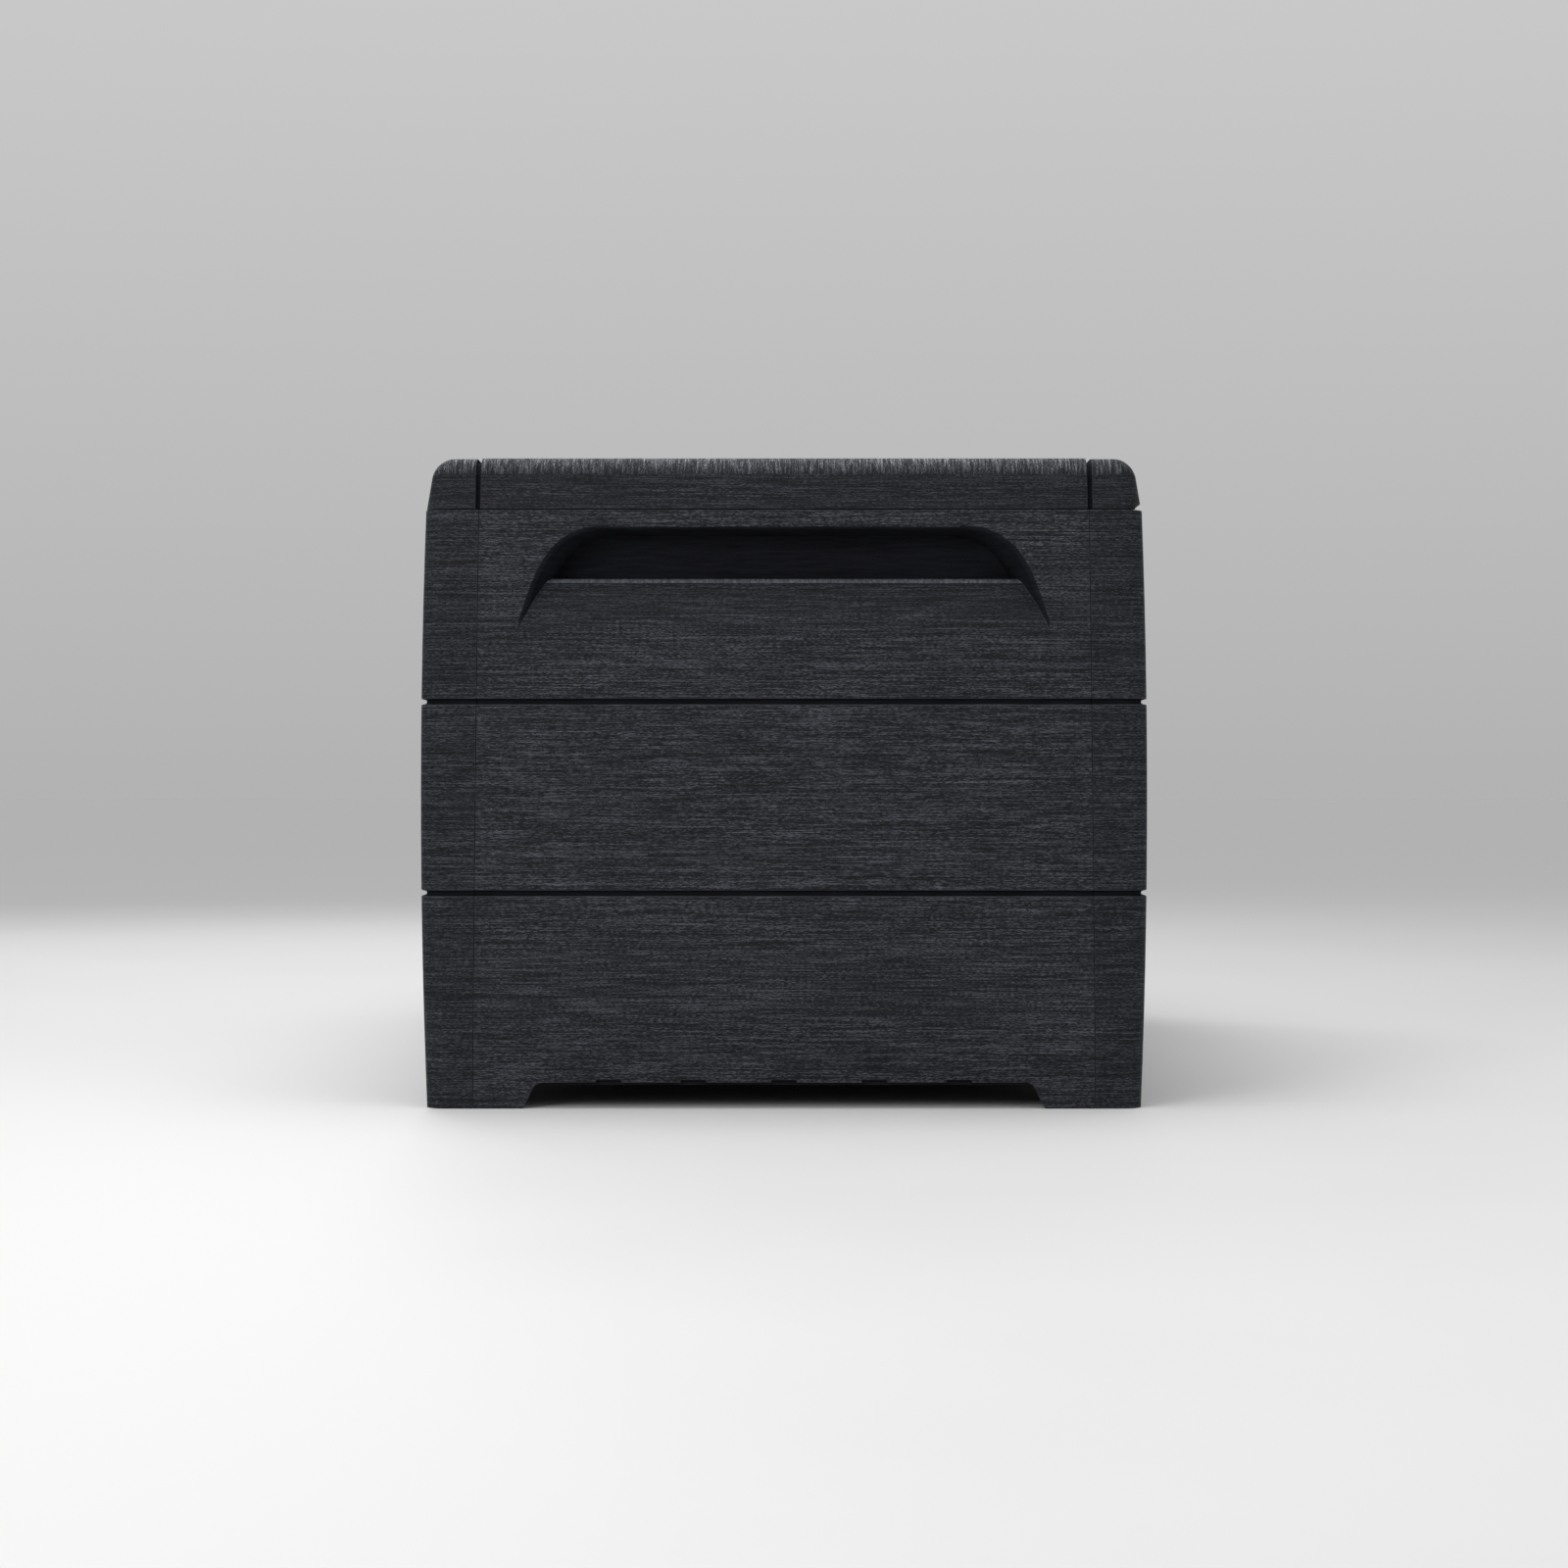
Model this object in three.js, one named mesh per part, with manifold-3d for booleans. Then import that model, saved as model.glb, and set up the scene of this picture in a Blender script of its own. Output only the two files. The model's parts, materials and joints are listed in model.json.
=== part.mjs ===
// Outdoor resin storage box: four moulded wall panels with plank grooves, a floor on short legs,
// a hinged double-skin lid on three pin hinges, two gas struts and a padlock point.
// Millimetres, +Z up. The origin is on the ground under the box's centre, the front faces -Y and
// the lid is hinged along the back, at +Y.
import * as THREE from "three";
import { mergeVertices } from "three/addons/utils/BufferGeometryUtils.js";
import Module from "manifold-3d";

const wasm = await Module();
wasm.setup();

// ---- driving dimensions ----
const LENGTH = 1320; // overall, along X, at the widest height
const DEPTH = 715; // overall, along Y, at the widest height
const LID_TOP = 640.3;
const BODY_TOP = 587.2; // rim of the walls
const LID_BOTTOM = 588.2;
const WALL = 4; // moulded skin
const GAP = 0.4; // between neighbouring pieces
const CORNER_RADIUS = 20;
const CORNER_STEPS = 4;
const FAR = 900; // beyond the box in every direction, for cutting solids
const EVERYWHERE = [-FAR, FAR];

// The walls bow outwards between the ground and the rim.
const BOW = 5;
const BOW_MID = 305;
const BOW_HALF_SPAN = 290;
const BOW_HEIGHTS = [0, 105, 305, 490, BODY_TOP];

// Two grooves run round all four walls and part them into three planks.
const GROOVE_HEIGHTS = [211.3, 399];
const GROOVE_WIDTH = 5.6;
const GROOVE_DEPTH = 5;
const GROOVE_SLOPE = 1.2;
const GROOVE_BACKING = 3; // extra width of the same groove on the inside of the wall

// The seam between an end panel and the corner returns leans inwards with height.
const SEAM_BOTTOM = 305.4;
const SEAM_LEAN = 0.0108;
const SEAM_GAP = 0.4;
const TONGUE = 14; // overlap of the end panel behind the corner return

const RIM_WIDTH = 14; // turned-in rim at the top of the walls
const RIM_THICKNESS = 4;
const RIB_DEPTH = 6;
const RIB_WIDTH = 4;
const RIB_LOW = 31; // ribs and tongues start this far up
const RIB_PLACES = [-560, -320, -160, 160, 320, 560];

const FOOT_WIDTH = 101.5;
const FOOT_GAP_HEIGHT = 25.5;
const FOOT_GAP_LEAN = { across: 6.2, height: 12 }; // straight part of a foot's inner side
const FOOT_GAP_CORNER = { knee: 10.5, flat: 19 }; // curve above it, measured from the foot
const NOTCH_WIDTH = 25;
const NOTCH_TOP = 28.2;
const NOTCH_PLACES_END = [-171.8, -88.8, 0, 88.8, 171.8];
const NOTCH_PLACES_LONG = [-440, -352, -264, -176, -88, 0, 88, 176, 264, 352, 440];

const FLOOR_LOW = 23;
const FLOOR_HIGH = 25.6;
const FLOOR_LIP_TOP = 30.4; // a low lip round the floor's edge backs the clip notches
const FLOOR_LIP_THICKNESS = 2.2;
const LEG_SIZE = 44;
const LEG_Y = 298;
const LEG_PLACES = [-600, 0, 600];
const FLOOR_RIB_PLACES = [-200, -100, 0, 100, 200];

// Hand grip in each end panel: a scoop with a ramp below it.
const GRIP_FACE_X = 657;
const GRIP_BOTTOM = 479;
const GRIP_TOP = 571;
const GRIP_DEPTH = 44;
const GRIP_LEDGE = 520.5;
const GRIP_RAMP_RUN = 22; // depth gained over GRIP_RAMP_RISE
const GRIP_RAMP_RISE = 53.2;

// Lid
const LID_EDGE_RADIUS = 24;
const LID_LEAN = 9.5; // degrees that the lid's sides lean inwards
const LID_EDGE_STEPS = 4;
const LID_CORNER_RADIUS = 26;
const LID_GROOVE_Y = 300;
const LID_GROOVE_WIDTH = 4.8;
const LID_GROOVE_DEPTH = 5;
const LID_RAIL_DROP = 0.7; // the front and rear rails lie this much below the middle field
const LINER_LOW = LID_BOTTOM + 2.7;
const LINER_THICKNESS = 3;
const LINER_BORDER = 65;
const LINER_CORNER = 22;
const LINER_RAISE = 16; // the liner's middle field lies this much above its border
const LINER_RIB_PLACES = [-400, -200, 0, 200, 400];
const LINER_RIB_REACH = 278;
const BAR_Y = 150;
const BAR_LENGTH = 1180;

// Hinges
const HINGE_Y = 347;
const HINGE_Z = LID_BOTTOM + 4.9;
const HINGE_PLACES = { left: -430, centre: 0, right: 430 };
const HINGE_WIDTH = 88;
const LOWER_LEAF_Y = [341.6, 344.2];
const LOWER_LEAF_LOW = 530;
const UPPER_LEAF_Y = [292, 334];
const KNUCKLE_RADIUS = 5.5;
const PIN_RADIUS = 2.5;
const KNUCKLE_MIDDLE = 39;
const RELIEF_Y = 345.2;
const RELIEF_TOP = HINGE_Z + 1.1; // the lid's rear edge is cut back up to here

// Gas struts, one inside each end, as places in Y and Z
const STRUT_X = 627;
const STRUT_LOW = { y: 276, z: 350 };
const STRUT_HIGH = { y: 310, z: 572.5 };
const TUBE_RADIUS = 9;
const ROD_RADIUS = 4;
const EYE_RADIUS = 9;
const EYE_THICKNESS = 10;
const STUD_RADIUS = 4;

// Padlock point in a recess at the top of the front
const RECESS_HALF_WIDTH = 38;
const RECESS_BOTTOM = 538;
const RECESS_BACK_Y = -330;
const LOCK_EYE = { y: -342.5, z: 561, radius: 5 };

const SCREW_RADIUS = 2;
const SCREW_HOLE_RADIUS = 2.35;
const SCREW_HEAD_RADIUS = 4;
const SCREW_HEAD_HEIGHT = 2.4;
const SCREW_SIDES = 8;

// ---- materials ----
const material = (color, roughness, metalness = 0) =>
  new THREE.MeshStandardMaterial({ color, roughness, metalness });
const charcoalResin = material(0x2e2f33, 0.62);
const blackResin = material(0x17181a, 0.5);
const blackPaint = material(0x101113, 0.35);
const zincSteel = material(0xa7aaad, 0.38, 1);
const chrome = material(0xd6d9dc, 0.12, 1);

// ---- solid helpers ----
function solidOf(geometry) {
  const bare = geometry.clone();
  bare.deleteAttribute("normal");
  bare.deleteAttribute("uv");
  const merged = mergeVertices(bare, 1e-4);
  return new wasm.Manifold(
    new wasm.Mesh({
      numProp: 3,
      vertProperties: merged.attributes.position.array,
      triVerts: new Uint32Array(merged.index.array),
    }),
  );
}

function meshOf(solid, name, surface) {
  const { vertProperties, triVerts } = solid.getMesh();
  const geometry = new THREE.BufferGeometry();
  geometry.setAttribute("position", new THREE.BufferAttribute(vertProperties, 3));
  geometry.setIndex(new THREE.BufferAttribute(triVerts, 1));
  geometry.computeVertexNormals();
  const mesh = new THREE.Mesh(geometry, surface);
  mesh.name = name;
  return mesh;
}

function block([x0, x1], [y0, y1], [z0, z1]) {
  const geometry = new THREE.BoxGeometry(x1 - x0, y1 - y0, z1 - z0);
  geometry.translate((x0 + x1) / 2, (y0 + y1) / 2, (z0 + z1) / 2);
  return solidOf(geometry);
}

const AXIS_BASES = {
  x: new THREE.Matrix4().makeBasis(
    new THREE.Vector3(0, 1, 0),
    new THREE.Vector3(0, 0, 1),
    new THREE.Vector3(1, 0, 0),
  ),
  y: new THREE.Matrix4().makeBasis(
    new THREE.Vector3(0, 0, 1),
    new THREE.Vector3(1, 0, 0),
    new THREE.Vector3(0, 1, 0),
  ),
  z: new THREE.Matrix4(),
};

// A shape drawn in the plane across an axis, (y, z), (z, x) or (x, y), and extruded along it.
function prism(axis, shape, [from, to], curveSegments = 6) {
  const geometry = new THREE.ExtrudeGeometry(shape, {
    depth: to - from,
    bevelEnabled: false,
    curveSegments,
  });
  geometry.translate(0, 0, from);
  geometry.applyMatrix4(AXIS_BASES[axis]);
  return solidOf(geometry);
}

const polygon = (points) => new THREE.Shape(points.map(([u, v]) => new THREE.Vector2(u, v)));

function disc([u, v], radius, holeRadius = 0) {
  const shape = new THREE.Shape();
  shape.absarc(u, v, radius, 0, 2 * Math.PI);
  if (holeRadius) shape.holes.push(new THREE.Path().absarc(u, v, holeRadius, 0, 2 * Math.PI));
  return shape;
}

// A solid through rings of equal point count, each drawn counter-clockwise seen from the last ring.
function loft(rings) {
  const count = rings[0].length;
  const positions = rings.flat(2);
  const indices = [];
  for (let level = 0; level < rings.length - 1; level++) {
    for (let i = 0; i < count; i++) {
      const a = level * count + i;
      const b = level * count + ((i + 1) % count);
      indices.push(a, b, b + count, a, b + count, a + count);
    }
  }
  const top = (rings.length - 1) * count;
  for (let i = 1; i < count - 1; i++) {
    indices.push(0, i + 1, i);
    indices.push(top, top + i, top + i + 1);
  }
  const geometry = new THREE.BufferGeometry();
  geometry.setAttribute("position", new THREE.Float32BufferAttribute(positions, 3));
  geometry.setIndex(indices);
  return solidOf(geometry);
}

function roundedRing(halfX, halfY, radius, z) {
  const ring = [];
  const corners = [
    [1, 1, 0],
    [-1, 1, 1],
    [-1, -1, 2],
    [1, -1, 3],
  ];
  for (const [sx, sy, quarter] of corners) {
    for (let i = 0; i <= CORNER_STEPS; i++) {
      const angle = ((quarter + i / CORNER_STEPS) * Math.PI) / 2;
      ring.push([
        sx * (halfX - radius) + radius * Math.cos(angle),
        sy * (halfY - radius) + radius * Math.sin(angle),
        z,
      ]);
    }
  }
  return ring;
}

const union = (solids) => solids.reduce((sum, solid) => sum.add(solid));
const without = (solid, cuts) => cuts.reduce((rest, cut) => rest.subtract(cut), solid);

// ---- walls ----
const bow = (z) => BOW * ((z - BOW_MID) / BOW_HALF_SPAN) ** 2;

// The box's outline, moved inwards by skin, as a solid between two heights.
function envelope(skin, low = 0, high = BODY_TOP) {
  const levels = BOW_HEIGHTS.map((z) => ({ z, depth: 0 }));
  const spread = GROOVE_WIDTH / 2 + (skin > 0 ? GROOVE_BACKING : 0);
  for (const z of GROOVE_HEIGHTS) {
    levels.push({ z: z - spread, depth: 0 }, { z: z + spread, depth: 0 });
    levels.push({ z: z - spread + GROOVE_SLOPE, depth: GROOVE_DEPTH });
    levels.push({ z: z + spread - GROOVE_SLOPE, depth: GROOVE_DEPTH });
  }
  levels.sort((a, b) => a.z - b.z);
  if (low < 0) levels.unshift({ z: low, depth: 0 });
  if (high > BODY_TOP) levels.push({ z: high, depth: 0 });
  return loft(
    levels.map(({ z, depth }) => {
      const inset = skin + bow(z) + depth;
      const radius = Math.max(CORNER_RADIUS - skin - depth, 3);
      return roundedRing(LENGTH / 2 - inset, DEPTH / 2 - inset, radius, z);
    }),
  );
}

const outside = envelope(0);
const inside = envelope(WALL, -5, BODY_TOP + 5);
const layer = (outer, inner) =>
  envelope(outer, outer > 0 ? -5 : 0, BODY_TOP).subtract(envelope(inner, -8, BODY_TOP + 5));

// The part of space between two planes across X, width apart around place.
const slice = (place, width) =>
  block([place - width / 2, place + width / 2], EVERYWHERE, EVERYWHERE);

const seamAt = (z) => SEAM_BOTTOM - SEAM_LEAN * z;

// Everything on the outer side of the seam line moved outwards by shift, at the front or the back.
function beyondSeam(side, shift) {
  const edge = (z) => side * (seamAt(z) + shift);
  const outline = [
    [edge(-FAR), -FAR],
    [side * FAR, -FAR],
    [side * FAR, FAR],
    [edge(FAR), FAR],
  ];
  return prism("x", polygon(side > 0 ? outline : outline.reverse()), EVERYWHERE);
}

function betweenSeams(shift) {
  const all = block(EVERYWHERE, EVERYWHERE, EVERYWHERE);
  return without(all, [beyondSeam(-1, shift), beyondSeam(1, shift)]);
}

// Opening between two feet, drawn across its wall.
function footGap(halfWidth) {
  const side = halfWidth - FOOT_GAP_LEAN.across;
  const knee = halfWidth - FOOT_GAP_CORNER.knee;
  const flat = halfWidth - FOOT_GAP_CORNER.flat;
  const shape = new THREE.Shape();
  shape.moveTo(-halfWidth - 0.5, -1);
  shape.lineTo(halfWidth + 0.5, -1);
  shape.lineTo(side, FOOT_GAP_LEAN.height);
  shape.quadraticCurveTo(knee, FOOT_GAP_HEIGHT, flat, FOOT_GAP_HEIGHT);
  shape.lineTo(-flat, FOOT_GAP_HEIGHT);
  shape.quadraticCurveTo(-knee, FOOT_GAP_HEIGHT, -side, FOOT_GAP_LEAN.height);
  return shape;
}

const rim = outside
  .intersect(block(EVERYWHERE, EVERYWHERE, [BODY_TOP - RIM_THICKNESS, BODY_TOP]))
  .subtract(envelope(WALL + RIM_WIDTH, -8, BODY_TOP + 5));
const tube = outside.subtract(inside).add(rim);

const HINGE_ROOM = HINGE_WIDTH / 2 + 3.5;

// Room for a hinge in the back panel's rim: under the knuckles, and deeper behind the leaf.
function hingePocket(x) {
  const span = [x - HINGE_ROOM, x + HINGE_ROOM];
  const front = LOWER_LEAF_Y[0] - 0.8;
  const underKnuckles = block(span, [front, FAR], [BODY_TOP - 0.8, FAR]);
  const aroundLeaf = block(span, [front, LOWER_LEAF_Y[1] + 1], [BODY_TOP - RIM_THICKNESS - 1, FAR]);
  return underKnuckles.add(aroundLeaf);
}

const screwHole = (axis, place, range) => prism(axis, disc(place, SCREW_HOLE_RADIUS), range, 3);

// Inside face of the back panel where a hinge is screwed on.
function hingePad(x) {
  const half = HINGE_WIDTH / 2;
  const heights = [LOWER_LEAF_LOW - 2, BODY_TOP - 8.2];
  return block([x - half, x + half], [LOWER_LEAF_Y[1] + GAP, 352], heights).intersect(outside);
}

const HINGE_SCREW_X = 32;
const LOWER_LEAF_SCREW_Z = 548;
const hingeScrewPlaces = (x) => [x - HINGE_SCREW_X, x + HINGE_SCREW_X];

// A long wall: side is -1 for the front and 1 for the back.
function longWall(side) {
  const outerHalf = side > 0 ? [300, FAR] : [-FAR, -300];
  const ribLayer = layer(WALL - 1, WALL + RIB_DEPTH).intersect(
    block(EVERYWHERE, outerHalf, [RIB_LOW, BODY_TOP - 1]),
  );
  const ribs = RIB_PLACES.map((x) => ribLayer.intersect(slice(x, RIB_WIDTH)));
  const notches = NOTCH_PLACES_LONG.map((x) =>
    block([x - NOTCH_WIDTH / 2, x + NOTCH_WIDTH / 2], outerHalf, [0, NOTCH_TOP]),
  );
  const gap = prism(
    "y",
    polygon(footGap(LENGTH / 2 - FOOT_WIDTH).getPoints(6).map((p) => [p.y, p.x]).reverse()),
    outerHalf,
  );
  return without(union([tube.intersect(beyondSeam(side, SEAM_GAP / 2)), ...ribs]), [
    gap,
    ...notches,
  ]);
}

function frontPanel() {
  const recess = (grow) =>
    block(
      [-RECESS_HALF_WIDTH - grow, RECESS_HALF_WIDTH + grow],
      [-FAR, RECESS_BACK_Y + grow],
      [RECESS_BOTTOM - grow, grow ? BODY_TOP : FAR],
    );
  const cup = recess(WALL).intersect(outside);
  const screwHoles = lockScrewPlaces.map(([x, z]) =>
    screwHole("y", [z, x], [RECESS_BACK_Y - 1, RECESS_BACK_Y + 2.8]),
  );
  return without(longWall(-1).add(cup), [recess(0), ...screwHoles]);
}

function backPanel() {
  const places = Object.values(HINGE_PLACES);
  const holes = places.flatMap((x) =>
    hingeScrewPlaces(x).map((at) => screwHole("y", [LOWER_LEAF_SCREW_Z, at], [340, 348.4])),
  );
  const pads = places.map(hingePad);
  return without(union([longWall(1), ...pads]), [...places.map(hingePocket), ...holes]);
}

// ---- hand grip ----
// Outline of the grip's mouth on the end face, half of it, from the ramp's corner to the flat top.
const gripCurve = new THREE.CubicBezierCurve(
  new THREE.Vector2(258.7, GRIP_BOTTOM),
  new THREE.Vector2(242, 530),
  new THREE.Vector2(230, GRIP_TOP),
  new THREE.Vector2(172, GRIP_TOP),
);

function gripRing(x, sideInset, topInset) {
  const half = gripCurve.getPoints(9).map((p) => {
    const rise = (p.y - GRIP_BOTTOM) / (GRIP_TOP - GRIP_BOTTOM);
    return [p.x * (1 - sideInset / 258.7), p.y - topInset * rise];
  });
  const mirrored = half.map(([y, z]) => [-y, z]).reverse();
  return [...half, ...mirrored].map(([y, z]) => [x, y, z]);
}

// Cross-section of the grip in depth and height: ramp, rounded lip, ledge and back.
function gripSection(skin) {
  const run = skin / Math.cos(Math.atan2(GRIP_RAMP_RUN, GRIP_RAMP_RISE));
  const slope = GRIP_RAMP_RISE / GRIP_RAMP_RUN;
  const rampStart = GRIP_BOTTOM - 16.4;
  const ledge = GRIP_LEDGE - skin;
  const lip = skin
    ? [[(ledge - rampStart) / slope - 8 + run, ledge]]
    : [
        [12.5, 510.4],
        [14.4, 514.6],
        [17, 517.9],
        [20.6, ledge],
      ];
  const depthHeight = [
    [-8 + run, rampStart],
    ...lip,
    [GRIP_DEPTH + skin, ledge],
    [GRIP_DEPTH + skin, 610],
    [-8 + run, 610],
  ];
  return polygon(depthHeight.map(([depth, z]) => [z, GRIP_FACE_X - depth]));
}

function gripSolid(skin) {
  const mouth = loft([
    gripRing(GRIP_FACE_X - GRIP_DEPTH - skin, 19 - skin, 6 - skin),
    gripRing(GRIP_FACE_X - 14 - skin / 2, 13 - skin, 4 - skin),
    gripRing(GRIP_FACE_X - 3, 3 - skin, 2.5 - skin),
    gripRing(GRIP_FACE_X, -skin, -skin),
    gripRing(GRIP_FACE_X + 8, -skin, -skin),
  ]);
  return mouth.intersect(prism("y", gripSection(skin), [-300, 300]));
}

// ---- end panels ----
const STRUT_SCREW_RISE = 15;

function rightEndPanel() {
  const half = block([0, FAR], EVERYWHERE, EVERYWHERE);
  const wall = tube.intersect(betweenSeams(-SEAM_GAP / 2)).intersect(half);
  const tongueHeights = block([0, FAR], EVERYWHERE, [RIB_LOW, BODY_TOP - RIM_THICKNESS - 2]);
  const root = layer(WALL - 1, 2 * WALL + GAP)
    .intersect(betweenSeams(-2))
    .subtract(betweenSeams(-12));
  const tongue = layer(WALL + GAP, 2 * WALL + GAP)
    .intersect(betweenSeams(TONGUE))
    .subtract(betweenSeams(-3));
  const cup = gripSolid(WALL).intersect(outside);
  const gap = prism("x", footGap(DEPTH / 2 - FOOT_WIDTH), [600, FAR], 6);
  const notches = NOTCH_PLACES_END.map((y) =>
    block([600, FAR], [y - NOTCH_WIDTH / 2, y + NOTCH_WIDTH / 2], [0, NOTCH_TOP]),
  );
  const holes = [-STRUT_SCREW_RISE, STRUT_SCREW_RISE].map((dz) =>
    screwHole("x", [STRUT_LOW.y, STRUT_LOW.z + dz], [650, 658.2]),
  );
  const joined = union([wall, root.add(tongue).intersect(tongueHeights), cup]);
  return without(joined, [gripSolid(0), gap, ...notches, ...holes]);
}

// ---- floor ----
function floorPanel() {
  const clearance = 0.5;
  const inset = WALL + bow(FLOOR_LOW) + clearance;
  const halfX = LENGTH / 2 - inset;
  const halfY = DEPTH / 2 - inset;
  const radius = CORNER_RADIUS - WALL - clearance;
  const sheet = (shrink, levels) =>
    loft(levels.map((z) => roundedRing(halfX - shrink, halfY - shrink, radius - shrink, z)));
  const slab = sheet(0, [FLOOR_LOW, FLOOR_HIGH]);
  const lip = sheet(0, [FLOOR_HIGH - 1, FLOOR_LIP_TOP]).subtract(
    sheet(FLOOR_LIP_THICKNESS, [FLOOR_HIGH - 2, FLOOR_LIP_TOP + 1]),
  );
  const legs = [];
  const hollows = [];
  for (const x of LEG_PLACES) {
    for (const y of [-LEG_Y, LEG_Y]) {
      const square = (size) => [
        [x - size / 2, x + size / 2],
        [y - size / 2, y + size / 2],
      ];
      legs.push(block(...square(LEG_SIZE), [0, FLOOR_LOW + 1]));
      hollows.push(block(...square(LEG_SIZE - 2 * WALL), [WALL, FLOOR_HIGH + 5]));
    }
  }
  const ribs = FLOOR_RIB_PLACES.map((y) =>
    block([-590, 590], [y - 6, y + 6], [FLOOR_HIGH - 1, FLOOR_HIGH + 2.5]),
  );
  return without(union([slab, lip, ...legs, ...ribs]), hollows);
}

// ---- lid ----
// The lid's outline, moved inwards by skin: leaning sides, a rounded edge and a flat top.
function lidEnvelope(skin, { low = LID_BOTTOM, top = LID_TOP } = {}) {
  const lean = THREE.MathUtils.degToRad(LID_LEAN);
  const centreHeight = top - LID_EDGE_RADIUS;
  const tangentHeight = centreHeight + LID_EDGE_RADIUS * Math.sin(lean);
  const insetAt = (z) => bow(BODY_TOP) + (z - LID_BOTTOM) * Math.tan(lean);
  const centreInset = insetAt(tangentHeight) + LID_EDGE_RADIUS * Math.cos(lean);
  const radius = LID_EDGE_RADIUS - skin;
  const levels = [{ z: low, inset: insetAt(low) + skin / Math.cos(lean) }];
  for (let i = 0; i <= LID_EDGE_STEPS; i++) {
    const angle = lean + (i / LID_EDGE_STEPS) * (Math.PI / 2 - lean);
    levels.push({
      z: centreHeight + radius * Math.sin(angle),
      inset: centreInset - radius * Math.cos(angle),
    });
  }
  return loft(
    levels.map(({ z, inset }) => {
      const corner = Math.max(LID_CORNER_RADIUS - (inset - bow(BODY_TOP)), 3);
      return roundedRing(LENGTH / 2 - inset, DEPTH / 2 - inset, corner, z);
    }),
  );
}

function lidGrooveBands(width) {
  return [-LID_GROOVE_Y, LID_GROOVE_Y].map((y) =>
    block(EVERYWHERE, [y - width / 2, y + width / 2], [500, FAR]),
  );
}

const linerScrewHeights = [LINER_LOW - 6, LINER_LOW + LINER_THICKNESS + 3];

function lidOuter() {
  const rails = lidEnvelope(0, { top: LID_TOP - LID_RAIL_DROP });
  const field = lidEnvelope(0).intersect(
    block(EVERYWHERE, [-LID_GROOVE_Y, LID_GROOVE_Y], EVERYWHERE),
  );
  const grooves = union(lidGrooveBands(LID_GROOVE_WIDTH)).subtract(
    lidEnvelope(LID_GROOVE_DEPTH, { low: LID_BOTTOM - 5 }),
  );
  const backing = union(lidGrooveBands(LID_GROOVE_WIDTH + 2 * WALL)).subtract(
    lidEnvelope(LID_GROOVE_DEPTH + WALL, { low: LID_BOTTOM - 10 }),
  );
  const hollow = lidEnvelope(WALL, { low: LID_BOTTOM - 5 }).subtract(backing);
  const relief = block(EVERYWHERE, [RELIEF_Y, FAR], [0, RELIEF_TOP]);
  const hingeRooms = Object.values(HINGE_PLACES).map((x) =>
    block([x - HINGE_ROOM, x + HINGE_ROOM], [335, FAR], [0, HINGE_Z + 7]),
  );
  return without(rails.add(field), [hollow, grooves, relief, ...hingeRooms]);
}

// Places of the screws that go up into the liner's border, in X and Y.
const UPPER_LEAF_SCREW_Y = 308;
const STRUT_PLATE_SCREW_X = 604;
const STRUT_PLATE_SCREW_SPREAD = 9; // on either side of the pivot, along Y
const strutPlateScrews = [-1, 1].map((side) => STRUT_HIGH.y + side * STRUT_PLATE_SCREW_SPREAD);
const LOCK_PLATE_SCREWS = [-8, 16];
const LOCK_PLATE_SCREW_Y = -319;

function lidLiner() {
  const inset = bow(BODY_TOP) + WALL + 1.6;
  const outline = (shrink, low, high) =>
    loft(
      [low, high].map((z) =>
        roundedRing(LENGTH / 2 - inset - shrink, DEPTH / 2 - inset - shrink, LINER_CORNER, z),
      ),
    );
  const top = LINER_LOW + LINER_RAISE;
  const shell = union([
    outline(0, LINER_LOW, LINER_LOW + LINER_THICKNESS),
    outline(LINER_BORDER - LINER_THICKNESS, LINER_LOW, top + LINER_THICKNESS),
  ]).subtract(outline(LINER_BORDER, LINER_LOW - 1, top));
  const ribs = LINER_RIB_PLACES.map((x) =>
    block([x - 2, x + 2], [-LINER_RIB_REACH, LINER_RIB_REACH], [LINER_LOW + 2, top + 1]),
  );
  const grooveRooms = [-1, 1].flatMap((side) =>
    [-1, 1].map((end) =>
      block(
        [end * FAR, end * (LENGTH / 2 - 15.6)].sort((a, b) => a - b),
        [side * LID_GROOVE_Y - 7, side * LID_GROOVE_Y + 7],
        [580, LINER_LOW + 9],
      ),
    ),
  );
  const hingeRooms = Object.values(HINGE_PLACES).map((x) =>
    block([x - HINGE_ROOM, x + HINGE_ROOM], [339.5, FAR], [580, 610]),
  );
  const screwPlaces = [
    ...Object.values(HINGE_PLACES).flatMap((x) =>
      hingeScrewPlaces(x).map((at) => [at, UPPER_LEAF_SCREW_Y]),
    ),
    ...[-1, 1].flatMap((end) => strutPlateScrews.map((y) => [end * STRUT_PLATE_SCREW_X, y])),
    ...LOCK_PLATE_SCREWS.map((x) => [x, LOCK_PLATE_SCREW_Y]),
  ];
  const holes = screwPlaces.map((place) => screwHole("z", place, linerScrewHeights));
  return without(union([shell, ...ribs]), [...grooveRooms, ...hingeRooms, ...holes]);
}

function lidBar(y) {
  const low = LINER_LOW + LINER_RAISE + LINER_THICKNESS + GAP;
  const high = LID_TOP - WALL - GAP;
  const section = polygon([
    [y - 10, low],
    [y + 10, low],
    [y + 10, high],
    [y - 10, high],
  ]);
  const bore = polygon([
    [y - 8.5, low + 1.5],
    [y + 8.5, low + 1.5],
    [y + 8.5, high - 1.5],
    [y - 8.5, high - 1.5],
  ]);
  const half = BAR_LENGTH / 2;
  return prism("x", section, [-half, half]).subtract(prism("x", bore, [-half - 1, half + 1]));
}

// ---- hinges, drawn around x = 0 ----
const PIN_HOLE_RADIUS = PIN_RADIUS + GAP / 2;

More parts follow.
